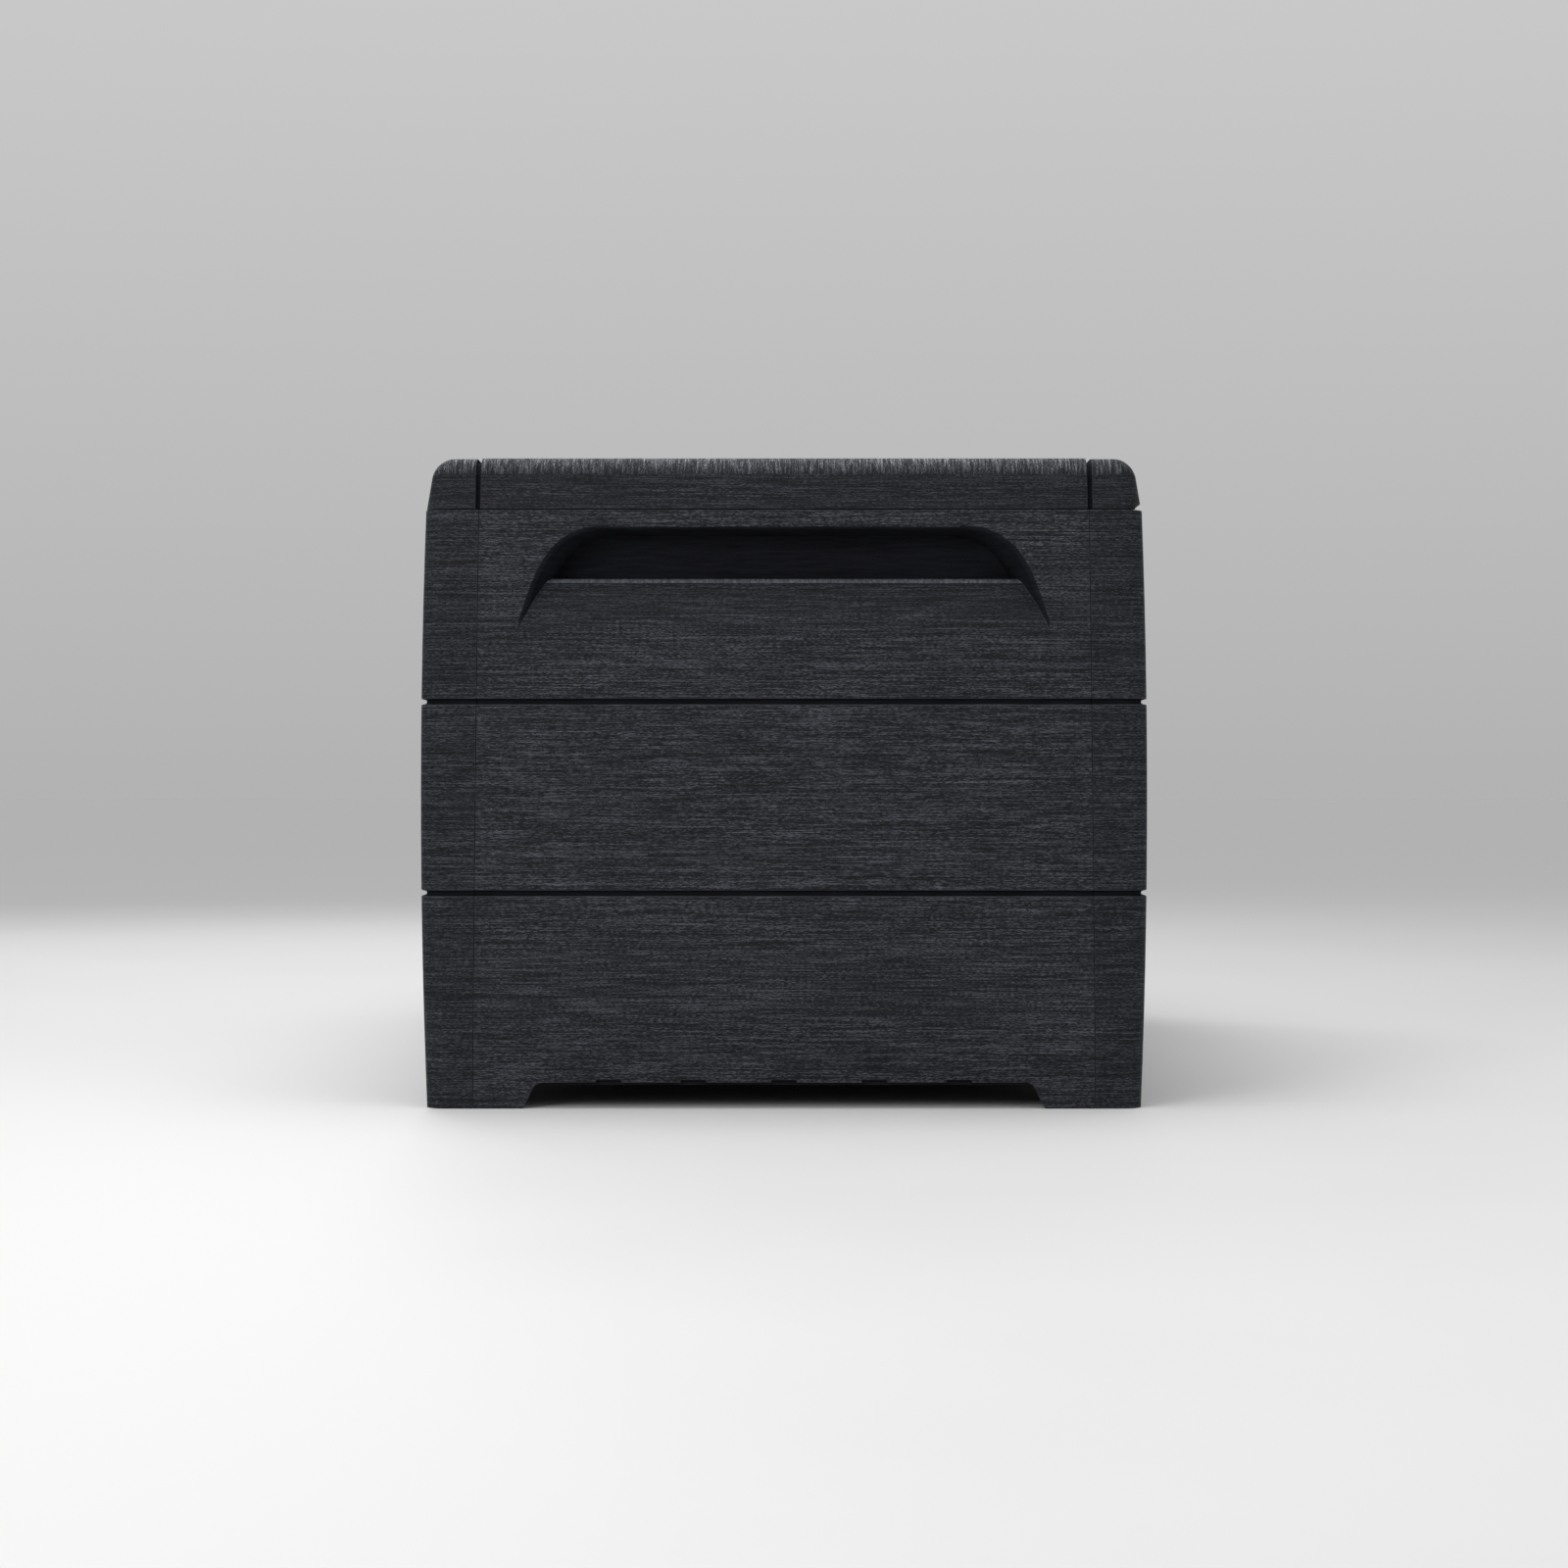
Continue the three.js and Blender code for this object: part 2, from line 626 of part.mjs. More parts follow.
function knuckle([from, to]) {
  return prism("x", disc([HINGE_Y, HINGE_Z], KNUCKLE_RADIUS, PIN_HOLE_RADIUS), [from, to], 8);
}

const pinRoom = (from, to) =>
  prism("x", disc([HINGE_Y, HINGE_Z], PIN_HOLE_RADIUS), [from, to], 8);

function lowerLeaf() {
  const half = HINGE_WIDTH / 2;
  const middle = KNUCKLE_MIDDLE / 2 + 0.6;
  const plate = block([-half, half], LOWER_LEAF_Y, [LOWER_LEAF_LOW, BODY_TOP - 1.2]);
  const tabs = [-1, 1].map((side) =>
    block([side * middle, side * half].sort((a, b) => a - b), LOWER_LEAF_Y, [580, HINGE_Z]),
  );
  const knuckles = [knuckle([-half, -middle]), knuckle([middle, half])];
  const holes = hingeScrewPlaces(0).map((x) =>
    screwHole("y", [LOWER_LEAF_SCREW_Z, x], [340, 346]),
  );
  return without(union([plate, ...tabs, ...knuckles]), [pinRoom(-half - 1, half + 1), ...holes]);
}

function upperLeaf() {
  const half = HINGE_WIDTH / 2;
  const middle = KNUCKLE_MIDDLE / 2;
  const plateZ = [LID_BOTTOM + 0.1, LINER_LOW - GAP + 0.1];
  const neck = block([-middle, middle], [UPPER_LEAF_Y[1] - 4, HINGE_Y - 3.4], plateZ);
  const plate = block([-half, half], UPPER_LEAF_Y, plateZ);
  const holes = hingeScrewPlaces(0).map((x) =>
    screwHole("z", [x, UPPER_LEAF_SCREW_Y], linerScrewHeights),
  );
  return without(union([knuckle([-middle, middle]), neck, plate]), [
    pinRoom(-half, half),
    ...holes,
  ]);
}

const hingePin = () =>
  prism("x", disc([HINGE_Y, HINGE_Z], PIN_RADIUS), [-HINGE_WIDTH / 2 + 1, HINGE_WIDTH / 2 - 1], 8);

// ---- gas struts, drawn along +Z from the lower pivot ----
const STRUT_LENGTH = Math.hypot(STRUT_HIGH.y - STRUT_LOW.y, STRUT_HIGH.z - STRUT_LOW.z);
const STRUT_LEAN = Math.atan2(STRUT_HIGH.y - STRUT_LOW.y, STRUT_HIGH.z - STRUT_LOW.z);
const TUBE_BOTTOM = 16;
const TUBE_TOP = 138;
const STRUT_SIDES = 16;

function turned(profile, sides = STRUT_SIDES) {
  const geometry = new THREE.LatheGeometry(
    profile.map(([radius, height]) => new THREE.Vector2(radius, height)),
    sides,
  );
  geometry.rotateX(Math.PI / 2);
  return solidOf(geometry);
}

function strutTube() {
  const bore = TUBE_RADIUS - 1.5;
  return turned([
    [0, TUBE_BOTTOM],
    [TUBE_RADIUS - 1, TUBE_BOTTOM],
    [TUBE_RADIUS, TUBE_BOTTOM + 1],
    [TUBE_RADIUS, TUBE_TOP - 1.5],
    [TUBE_RADIUS - 1.5, TUBE_TOP],
    [ROD_RADIUS + GAP, TUBE_TOP],
    [ROD_RADIUS + GAP, TUBE_TOP - 10],
    [bore, TUBE_TOP - 10],
    [bore, TUBE_BOTTOM + 3],
    [0, TUBE_BOTTOM + 3],
  ]);
}

function strutRod() {
  const end = STRUT_LENGTH - 15;
  return turned([
    [0, 24],
    [TUBE_RADIUS - 2.1, 24],
    [TUBE_RADIUS - 2.1, 32],
    [ROD_RADIUS, 32],
    [ROD_RADIUS, end],
    [0, end],
  ]);
}

// A plastic end fitting with a cross hole at the pivot and a neck towards the strut's middle.
function strutEye(pivot, towards) {
  const half = EYE_THICKNESS / 2;
  const ring = prism("x", disc([0, pivot], EYE_RADIUS), [-half, half], 7);
  const neckEnds = [pivot, pivot + towards * 14.6].sort((a, b) => a - b);
  const neck = prism("z", disc([0, 0], 5), neckEnds, 5);
  const hole = prism("x", disc([0, pivot], STUD_RADIUS + 0.3), [-half - 1, half + 1], 6);
  return ring.add(neck).subtract(hole);
}

// A stud through an eye, with its head at headSide; the other end stops at reach.
function strutStud(headSide, reach) {
  const half = EYE_THICKNESS / 2;
  const headStart = headSide * (half + GAP);
  const head = [headStart, headStart + headSide * 2.4].sort((a, b) => a - b);
  const shank = [headStart + headSide, reach].sort((a, b) => a - b);
  return prism("x", disc([0, 0], STUD_RADIUS), shank, 6).add(
    prism("x", disc([0, 0], STUD_RADIUS + 2.5), head, 6),
  );
}

// ---- strut brackets, drawn on the right-hand strut's plane, x = 0 at the strut's axis ----
const END_WALL_X = LENGTH / 2 - WALL - bow(STRUT_LOW.z);

function lowerBracket() {
  const back = END_WALL_X - GAP - STRUT_X;
  const front = back - 4;
  const plate = block([front, back], [-13, 13], [-23, 23]);
  const boss = prism("x", disc([0, 0], 8), [EYE_THICKNESS / 2 + GAP, front + 1], 6);
  const studHole = prism("x", disc([0, 0], STUD_RADIUS + GAP), [0, back - 2], 6);
  const holes = [-STRUT_SCREW_RISE, STRUT_SCREW_RISE].map((z) =>
    screwHole("x", [0, z], [front - 1, back + 1]),
  );
  return without(plate.add(boss), [studHole, ...holes]);
}

const CHEEK_X = [-12.4, -8.4];

function upperBracket() {
  const plateZ = [LID_BOTTOM + 0.3 - STRUT_HIGH.z, LINER_LOW - GAP + 0.1 - STRUT_HIGH.z];
  const plate = block([-29, CHEEK_X[1]], [-15, 15], plateZ);
  const cheekShape = polygon([
    [-13, plateZ[0] + 1],
    [-9, -6],
    [-5, -10],
    [5, -10],
    [9, -6],
    [13, plateZ[0] + 1],
  ]);
  const cheek = prism("x", cheekShape, CHEEK_X);
  const boss = prism("x", disc([0, 0], 7), [CHEEK_X[1] - 1, -EYE_THICKNESS / 2 - 2 * GAP], 6);
  const holes = strutPlateScrews.map((y) =>
    screwHole(
      "z",
      [STRUT_PLATE_SCREW_X - STRUT_X, y - STRUT_HIGH.y],
      [plateZ[0] - 1, plateZ[1] + 1],
    ),
  );
  return without(union([plate, cheek, boss]), holes);
}

// ---- padlock point ----
const LUG_THICKNESS = 4;
const LUG_OFFSET = 3; // half the space between the two lugs
const lockScrewPlaces = [
  [-22, 569],
  [-22, 553],
];

function lugShape(root) {
  const { y, z, radius } = LOCK_EYE;
  const shape = new THREE.Shape();
  shape.moveTo(root[0][0], root[0][1]);
  root.slice(1).forEach(([u, v]) => shape.lineTo(u, v));
  shape.closePath();
  shape.holes.push(new THREE.Path().absarc(y, z, radius, 0, 2 * Math.PI));
  return shape;
}

function bodyLug() {
  const { y, z } = LOCK_EYE;
  const front = RECESS_BACK_Y - GAP;
  const plate = block([-28, -LUG_OFFSET], [front - 2.6, front], [z - 15, z + 15]);
  const outline = lugShape([
    [front - 1, z - 12],
    [front - 1, z + 12],
    [y - 3, z + 9],
    [y - 8, z + 4],
    [y - 8, z - 4],
    [y - 3, z - 9],
  ]);
  const lug = prism("x", outline, [-LUG_OFFSET - LUG_THICKNESS, -LUG_OFFSET], 10);
  const holes = lockScrewPlaces.map(([x, at]) => screwHole("y", [at, x], [front - 4, front + 1]));
  return without(plate.add(lug), holes);
}

function lidLug() {
  const { y, z } = LOCK_EYE;
  const plateZ = [LID_BOTTOM + 0.3, LINER_LOW - GAP + 0.1];
  const plate = block([-14, 22], [-346, -312], plateZ);
  const outline = lugShape([
    [y - 3.5, plateZ[0] + 1],
    [y - 8, z + 5],
    [y - 8, z - 5],
    [y - 4, z - 10],
    [y + 4, z - 10],
    [y + 7.5, z - 5],
    [y + 7.5, plateZ[0] + 1],
  ]);
  const lug = prism("x", outline, [LUG_OFFSET, LUG_OFFSET + LUG_THICKNESS], 10);
  const holes = LOCK_PLATE_SCREWS.map((x) =>
    screwHole("z", [x, LOCK_PLATE_SCREW_Y], [plateZ[0] - 1, plateZ[1] + 1]),
  );
  return without(plate.add(lug), holes);
}

// ---- screws: the head's underside is at the origin and the shank points along +Z ----
function screwSolid(length) {
  return turned(
    [
      [0, -SCREW_HEAD_HEIGHT],
      [SCREW_HEAD_RADIUS, -SCREW_HEAD_HEIGHT],
      [SCREW_HEAD_RADIUS, 0],
      [SCREW_RADIUS, 0],
      [SCREW_RADIUS, length],
      [0, length],
    ],
    SCREW_SIDES,
  );
}

function screw(name, length, [x, y, z], [rx, ry] = [0, 0]) {
  const mesh = meshOf(screwSolid(length), name, zincSteel);
  mesh.position.set(x, y, z);
  mesh.rotation.set(rx, ry, 0);
  return mesh;
}

// ---- assembly ----
function body() {
  const group = new THREE.Group();
  const rightEnd = rightEndPanel();
  group.add(
    meshOf(frontPanel(), "front_panel", charcoalResin),
    meshOf(backPanel(), "back_panel", charcoalResin),
    meshOf(rightEnd, "end_panel_right", charcoalResin),
    meshOf(rightEnd.mirror([1, 0, 0]), "end_panel_left", charcoalResin),
    meshOf(floorPanel(), "floor_panel", charcoalResin),
    meshOf(bodyLug(), "lock_lug_body", zincSteel),
  );
  lockScrewPlaces.forEach(([x, z], i) => {
    const head = RECESS_BACK_Y - 3.4;
    group.add(screw(`lock_screw_body_${i + 1}`, 5.2, [x, head, z], [-Math.PI / 2, 0]));
  });
  return group;
}

function lid() {
  const group = new THREE.Group();
  group.add(
    meshOf(lidOuter(), "lid_outer", charcoalResin),
    meshOf(lidLiner(), "lid_liner", charcoalResin),
    meshOf(lidBar(-BAR_Y), "lid_bar_front", zincSteel),
    meshOf(lidBar(BAR_Y), "lid_bar_rear", zincSteel),
    meshOf(lidLug(), "lock_lug_lid", zincSteel),
  );
  LOCK_PLATE_SCREWS.forEach((x, i) =>
    group.add(
      screw(`lock_screw_lid_${i + 1}`, 7, [x, LOCK_PLATE_SCREW_Y, LID_BOTTOM - 0.1]),
    ),
  );
  return group;
}

function hinge(place, x) {
  const group = new THREE.Group();
  group.position.x = x;
  group.add(
    meshOf(lowerLeaf(), `hinge_leaf_body_${place}`, blackResin),
    meshOf(upperLeaf(), `hinge_leaf_lid_${place}`, blackResin),
    meshOf(hingePin(), `hinge_pin_${place}`, zincSteel),
  );
  hingeScrewPlaces(0).forEach((at, i) => {
    const low = [at, LOWER_LEAF_Y[0] - GAP, LOWER_LEAF_SCREW_Z];
    const high = [at, UPPER_LEAF_SCREW_Y, LID_BOTTOM - 0.3];
    group.add(
      screw(`hinge_screw_body_${place}_${i + 1}`, 6.6, low, [-Math.PI / 2, 0]),
      screw(`hinge_screw_lid_${place}_${i + 1}`, 7, high),
    );
  });
  return group;
}

// One strut with its brackets; side is 1 at the right-hand end and -1 at the left.
function strut(place, side) {
  const along = new THREE.Group();
  along.position.set(side * STRUT_X, STRUT_LOW.y, STRUT_LOW.z);
  along.rotation.x = -STRUT_LEAN;
  const lowStud = strutStud(-1, END_WALL_X - STRUT_X - 5);
  const highStud = strutStud(1, -EYE_THICKNESS / 2 - GAP);
  const turn = (solid) => (side > 0 ? solid : solid.mirror([1, 0, 0]));
  const highStudMesh = meshOf(turn(highStud), `strut_stud_upper_${place}`, zincSteel);
  highStudMesh.position.z = STRUT_LENGTH;
  along.add(
    meshOf(turn(lowStud), `strut_stud_lower_${place}`, zincSteel),
    meshOf(strutEye(0, 1), `strut_eye_lower_${place}`, blackResin),
    meshOf(strutTube(), `strut_tube_${place}`, blackPaint),
    meshOf(strutRod(), `strut_rod_${place}`, chrome),
    meshOf(strutEye(STRUT_LENGTH, -1), `strut_eye_upper_${place}`, blackResin),
    highStudMesh,
  );

  const low = meshOf(turn(lowerBracket()), `strut_bracket_body_${place}`, zincSteel);
  low.position.set(side * STRUT_X, STRUT_LOW.y, STRUT_LOW.z);
  const high = meshOf(turn(upperBracket()), `strut_bracket_lid_${place}`, zincSteel);
  high.position.set(side * STRUT_X, STRUT_HIGH.y, STRUT_HIGH.z);

  const screws = [-STRUT_SCREW_RISE, STRUT_SCREW_RISE].map((dz, i) => {
    const at = [side * (END_WALL_X - GAP - 4.4), STRUT_LOW.y, STRUT_LOW.z + dz];
    return screw(`strut_screw_body_${place}_${i + 1}`, 6.6, at, [0, (side * Math.PI) / 2]);
  });
  strutPlateScrews.forEach((y, i) => {
    const at = [side * STRUT_PLATE_SCREW_X, y, LID_BOTTOM - 0.1];
    screws.push(screw(`strut_screw_lid_${place}_${i + 1}`, 7, at));
  });
  const group = new THREE.Group();
  group.add(along, low, high, ...screws);
  return group;
}

const box = new THREE.Group();
box.add(body(), lid());
for (const [place, x] of Object.entries(HINGE_PLACES)) box.add(hinge(place, x));
box.add(strut("left", -1), strut("right", 1));

export default box;
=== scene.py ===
"""Looks for the outdoor resin storage box: finely moulded shells and turned hardware over the CAD
frame, a brushed wood-grain resin, zinc and chrome, a pale floor and soft studio light. Lengths are
in millimetres until a mesh is finished, and MM turns them into metres."""

import bpy
import bmesh
import json
import math
from mathutils import Matrix, Vector


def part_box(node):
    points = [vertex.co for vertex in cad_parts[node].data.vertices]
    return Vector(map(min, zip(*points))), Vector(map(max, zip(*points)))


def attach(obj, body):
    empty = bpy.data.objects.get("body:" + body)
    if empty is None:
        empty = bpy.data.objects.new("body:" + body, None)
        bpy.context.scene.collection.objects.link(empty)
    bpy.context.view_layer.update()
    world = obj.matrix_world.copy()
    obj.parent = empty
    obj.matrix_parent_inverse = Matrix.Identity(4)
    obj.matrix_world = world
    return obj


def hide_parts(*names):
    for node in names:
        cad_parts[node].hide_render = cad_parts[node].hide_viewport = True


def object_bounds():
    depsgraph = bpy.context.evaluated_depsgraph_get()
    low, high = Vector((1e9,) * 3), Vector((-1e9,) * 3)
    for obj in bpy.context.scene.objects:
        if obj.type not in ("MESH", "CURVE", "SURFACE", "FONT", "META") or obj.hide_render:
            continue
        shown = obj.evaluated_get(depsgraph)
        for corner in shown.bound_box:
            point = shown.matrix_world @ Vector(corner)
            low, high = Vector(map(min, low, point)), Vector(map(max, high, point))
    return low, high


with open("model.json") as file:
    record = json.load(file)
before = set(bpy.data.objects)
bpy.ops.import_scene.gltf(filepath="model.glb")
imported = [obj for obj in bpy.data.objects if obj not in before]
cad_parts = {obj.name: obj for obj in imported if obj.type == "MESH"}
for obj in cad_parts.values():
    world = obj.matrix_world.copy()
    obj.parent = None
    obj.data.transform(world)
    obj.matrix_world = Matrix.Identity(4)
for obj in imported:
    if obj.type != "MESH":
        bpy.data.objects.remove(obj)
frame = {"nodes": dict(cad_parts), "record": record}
cad_low, cad_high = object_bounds()

MM = 0.001
SIDES = (-1, 1)

# ---- what the frame says ----
record = frame["record"]
body_of = {node: body for body, nodes in record["behaviour"]["bodies"].items() for node in nodes}


def cad_box(node):
    """A CAD node's lowest and highest corners, in millimetres."""
    low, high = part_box(node)
    return low / MM, high / MM


def cad_middle(node):
    low, high = cad_box(node)
    return (low + high) / 2


FAR = 900  # beyond the box in every direction, for cutting solids
EVERYWHERE = (-FAR, FAR)
LENGTH = (cad_high.x - cad_low.x) / MM
DEPTH = (cad_high.y - cad_low.y) / MM
BODY_TOP = cad_box("front_panel")[1].z
LID_BOTTOM, LID_TOP = (corner.z for corner in cad_box("lid_outer"))
HINGE_PLACES = {name: cad_middle(f"hinge_pin_{name}") for name in ("left", "centre", "right")}
HINGE_Y, HINGE_Z = HINGE_PLACES["centre"].yz

# ---- sizes of the moulded shells ----
WALL = 4
CORNER_RADIUS = 20
CORNER_STEPS = 10
BOW = 5
BOW_MID = 305
BOW_HALF_SPAN = 290
BOW_STEP = 45
GROOVE_HEIGHTS = (211.3, 399)
GROOVE_HALF = 2.8
GROOVE_DEPTH = 5
GROOVE_BACKING = 3
SEAM_BOTTOM = 305.4
SEAM_LEAN = 0.0108
SEAM_GAP = 0.4
TONGUE = 14
RIM_WIDTH = 14
RIM_THICKNESS = 4
RIB_DEPTH = 6
RIB_WIDTH = 4
RIB_LOW = 31
RIB_PLACES = (-560, -320, -160, 160, 320, 560)
FOOT_WIDTH = 101.5
FOOT_GAP_HEIGHT = 25.5
NOTCH_WIDTH = 25
NOTCH_TOP = 28.2
NOTCH_PLACES_END = (-171.8, -88.8, 0, 88.8, 171.8)
NOTCH_PITCH_LONG = 88

GRIP_FACE_X = 657
GRIP_BOTTOM = 479
GRIP_TOP = 571
GRIP_MOUTH = ((258.7, GRIP_BOTTOM), (242, 530), (230, GRIP_TOP), (172, GRIP_TOP))
GRIP_DEPTH = 44
GRIP_LEDGE = 520.5
GRIP_SLOPE = 53.2 / 22
GRIP_LIP_RADIUS = 9
GRIP_MOUTH_RADIUS = 5
GRIP_TAIL_DROP = 20
GRIP_TAIL_OUT = 1.5

LID_EDGE_RADIUS = 24
LID_LEAN = math.radians(9.5)
LID_CORNER_RADIUS = 26
LID_GROOVE_Y = 300
LID_GROOVE_WIDTH = 4.8
LID_GROOVE_DEPTH = 5
LID_RAIL_DROP = 0.7
HINGE_WIDTH = 88
HINGE_ROOM = 95
LEAF_Y = (341.6, 344.2)
LEAF_LOW = 530
UPPER_LEAF_BACK = 334
RECESS_HALF_WIDTH = 38
RECESS_BOTTOM = 538
RECESS_BACK_Y = -330

SHELL_ROUNDING = 0.4
SMOOTH_ANGLE = math.radians(32)
FLAT_ANGLE = math.radians(0.15)


# ---- solids ----
def solid(vertices, faces):
    """A scratch object holding one closed solid, given in millimetres."""
    mesh = bpy.data.meshes.new("solid")
    mesh.from_pydata(vertices, [], faces)
    result = bpy.data.objects.new("solid", mesh)
    bpy.context.scene.collection.objects.link(result)
    return result


def mirrored(piece):
    """A copy of a solid on the other side of the plane x = 0."""
    result = bpy.data.objects.new("solid", piece.data.copy())
    result.data.transform(Matrix.Scale(-1, 4, Vector((1, 0, 0))))
    result.data.flip_normals()
    bpy.context.scene.collection.objects.link(result)
    return result


def combine(operation, base, others):
    """base joined to, cut by or met with every solid in others. The others are used up."""
    for other in others:
        modifier = base.modifiers.new("combine", "BOOLEAN")
        modifier.operation = operation
        modifier.solver = "MANIFOLD"
        modifier.object = other
    graph = bpy.context.evaluated_depsgraph_get()
    mesh = bpy.data.meshes.new_from_object(base.evaluated_get(graph))
    for piece in (base, *others):
        bpy.data.objects.remove(piece)
    result = bpy.data.objects.new("solid", mesh)
    bpy.context.scene.collection.objects.link(result)
    return result


def joined(base, *others):
    return combine("UNION", base, others)


def cut(base, *others):
    return combine("DIFFERENCE", base, others)


def common(base, *others):
    return combine("INTERSECT", base, others)


def loft(rings):
    """A solid through rings of equal point count, counter-clockwise seen from the last ring."""
    count = len(rings[0])
    vertices = [point for ring in rings for point in ring]
    faces = [list(range(count))[::-1]]
    for level in range(len(rings) - 1):
        start = level * count
        for i in range(count):
            j = (i + 1) % count
            faces.append([start + i, start + j, start + count + j, start + count + i])
    last = (len(rings) - 1) * count
    faces.append(list(range(last, last + count)))
    return solid(vertices, faces)


def span(middle, width):
    return middle - width / 2, middle + width / 2


def block(x_range, y_range, z_range):
    x0, x1 = sorted(x_range)
    y0, y1 = sorted(y_range)
    outline = [(x0, y0), (x1, y0), (x1, y1), (x0, y1)]
    return loft([[(x, y, z) for x, y in outline] for z in sorted(z_range)])


def prism(axis, outline, start, end):
    """An outline drawn across axis "x" as (y, z), "y" as (z, x) or "z" as (x, y), run along it."""
    shift = "zxy".index(axis)
    area = sum(a[0] * b[1] - b[0] * a[1] for a, b in zip(outline, outline[1:] + outline[:1]))
    if area < 0:
        outline = outline[::-1]
    rings = []
    for place in sorted((start, end)):
        ring = []
        for u, v in outline:
            point = [u, v, place]
            ring.append(tuple(point[(i - shift) % 3] for i in range(3)))
        rings.append(ring)
    return loft(rings)


def rounded_ring(half_x, half_y, radius, z):
    ring = []
    for quarter, (sx, sy) in enumerate(((1, 1), (-1, 1), (-1, -1), (1, -1))):
        for i in range(CORNER_STEPS + 1):
            angle = (quarter + i / CORNER_STEPS) * math.pi / 2
            x = sx * (half_x - radius) + radius * math.cos(angle)
            y = sy * (half_y - radius) + radius * math.sin(angle)
            ring.append((x, y, z))
    return ring


def quadratic(start, control, end, steps):
    """Points of a quadratic curve after its start."""
    start, control, end = Vector(start), Vector(control), Vector(end)
    points = []
    for i in range(1, steps + 1):
        t = i / steps
        points.append(tuple(start * (1 - t) ** 2 + control * 2 * t * (1 - t) + end * t * t))
    return points


def softened(outline, radius):
    """An outline with each corner turned into a short curve that starts radius away from it."""
    points = [Vector(point) for point in outline]
    soft = []
    for before, corner, after in zip(points[-1:] + points, points, points[1:] + points[:1]):
        ends = []
        for other in (before, after):
            edge = other - corner
            ends.append(corner + edge.normalized() * min(radius, edge.length * 0.49))
        soft += [tuple(ends[0]), *quadratic(ends[0], corner, ends[1], 5)]
    return soft


def disc(place, radius, sides=40):
    angles = [2 * math.pi * i / sides for i in range(sides)]
    return [(place[0] + radius * math.cos(a), place[1] + radius * math.sin(a)) for a in angles]


def turned(profile, sides=40):
    """A solid of revolution about Z, through (radius, height) pairs from the bottom up."""
    rings = []
    for radius, height in profile:
        rings.append([(*point, height) for point in disc((0, 0), radius, sides)])
    return loft(rings)


def moved(piece, start, direction=(0, 0, 1), roll=0.0):
    """Takes a solid drawn up +Z from the origin to a start and a direction."""
    turn = Vector(direction).to_track_quat("Z", "Y").to_matrix().to_4x4()
    piece.data.transform(Matrix.Translation(start) @ turn @ Matrix.Rotation(roll, 4, "Z"))
    return piece


def cubic(points, steps):
    a, b, c, d = (Vector(p) for p in points)
    curve = []
    for i in range(steps + 1):
        t = i / steps
        s = 1 - t
        curve.append(a * s**3 + b * 3 * s * s * t + c * 3 * s * t * t + d * t**3)
    return curve


# ---- walls ----
def bow(z):
    return BOW * ((z - BOW_MID) / BOW_HALF_SPAN) ** 2


def groove_profile(spread):
    """Half of a groove's section as (distance from its middle, depth), from the wall inwards."""
    lip = GROOVE_HALF + spread
    return [
        (lip + 0.9, 0),
        (lip + 0.35, 0.12),
        (lip, 0.5),
        (lip - 1.0, GROOVE_DEPTH - 0.8),
        (lip - 1.6, GROOVE_DEPTH),
    ]


def envelope(skin, low=0, high=None):
    """The box's outline, moved inwards by skin, as a solid between two heights."""
    high = BODY_TOP if high is None else high
    levels = []
    steps = round(BODY_TOP / BOW_STEP)
    profile = groove_profile(GROOVE_BACKING if skin > 0 else 0)
    reach = profile[0][0] + 6
    for i in range(steps + 1):
        z = BODY_TOP * i / steps
        if all(abs(z - groove) > reach for groove in GROOVE_HEIGHTS):
            levels.append((z, 0))
    for groove in GROOVE_HEIGHTS:
        for offset, depth in profile:
            levels += [(groove - offset, depth), (groove + offset, depth)]
    if low < 0:
        levels.append((low, 0))
    if high > BODY_TOP:
        levels.append((high, 0))
    rings = []
    for z, depth in sorted(levels):
        inset = skin + bow(z) + depth
        radius = max(CORNER_RADIUS - skin - depth * 0.6, 3)
        rings.append(rounded_ring(LENGTH / 2 - inset, DEPTH / 2 - inset, radius, z))
    return loft(rings)


def layer(outer, inner):
    """What lies between two insets of the walls."""
    return cut(envelope(outer, -5 if outer else 0), envelope(inner, -8, BODY_TOP + 5))


def seam_at(z):
    return SEAM_BOTTOM - SEAM_LEAN * z


def beyond_seam(side, shift):
    outline = [
        (side * (seam_at(-FAR) + shift), -FAR),
        (side * FAR, -FAR),
        (side * FAR, FAR),
        (side * (seam_at(FAR) + shift), FAR),
    ]
    return prism("x", outline, *EVERYWHERE)


def between_seams(shift):
    room = block(EVERYWHERE, EVERYWHERE, EVERYWHERE)
    return cut(room, beyond_seam(-1, shift), beyond_seam(1, shift))


def foot_gap(half_width):
    """The outline of the opening between two feet, as (across, height)."""
    side = (half_width - 6.2, 12)
    corner = (half_width - 10.5, FOOT_GAP_HEIGHT)
    flat = (half_width - 19, FOOT_GAP_HEIGHT)
    half = [(half_width + 0.5, -1), side, *quadratic(side, corner, flat, 8)]
    return half + [(-across, height) for across, height in reversed(half)]


def wall_tube():
    rim_band = block(EVERYWHERE, EVERYWHERE, (BODY_TOP - RIM_THICKNESS, BODY_TOP))
    rim = common(envelope(0), rim_band)
    rim = cut(rim, envelope(WALL + RIM_WIDTH, -8, BODY_TOP + 5))
    return joined(cut(envelope(0), envelope(WALL, -5, BODY_TOP + 5)), rim)


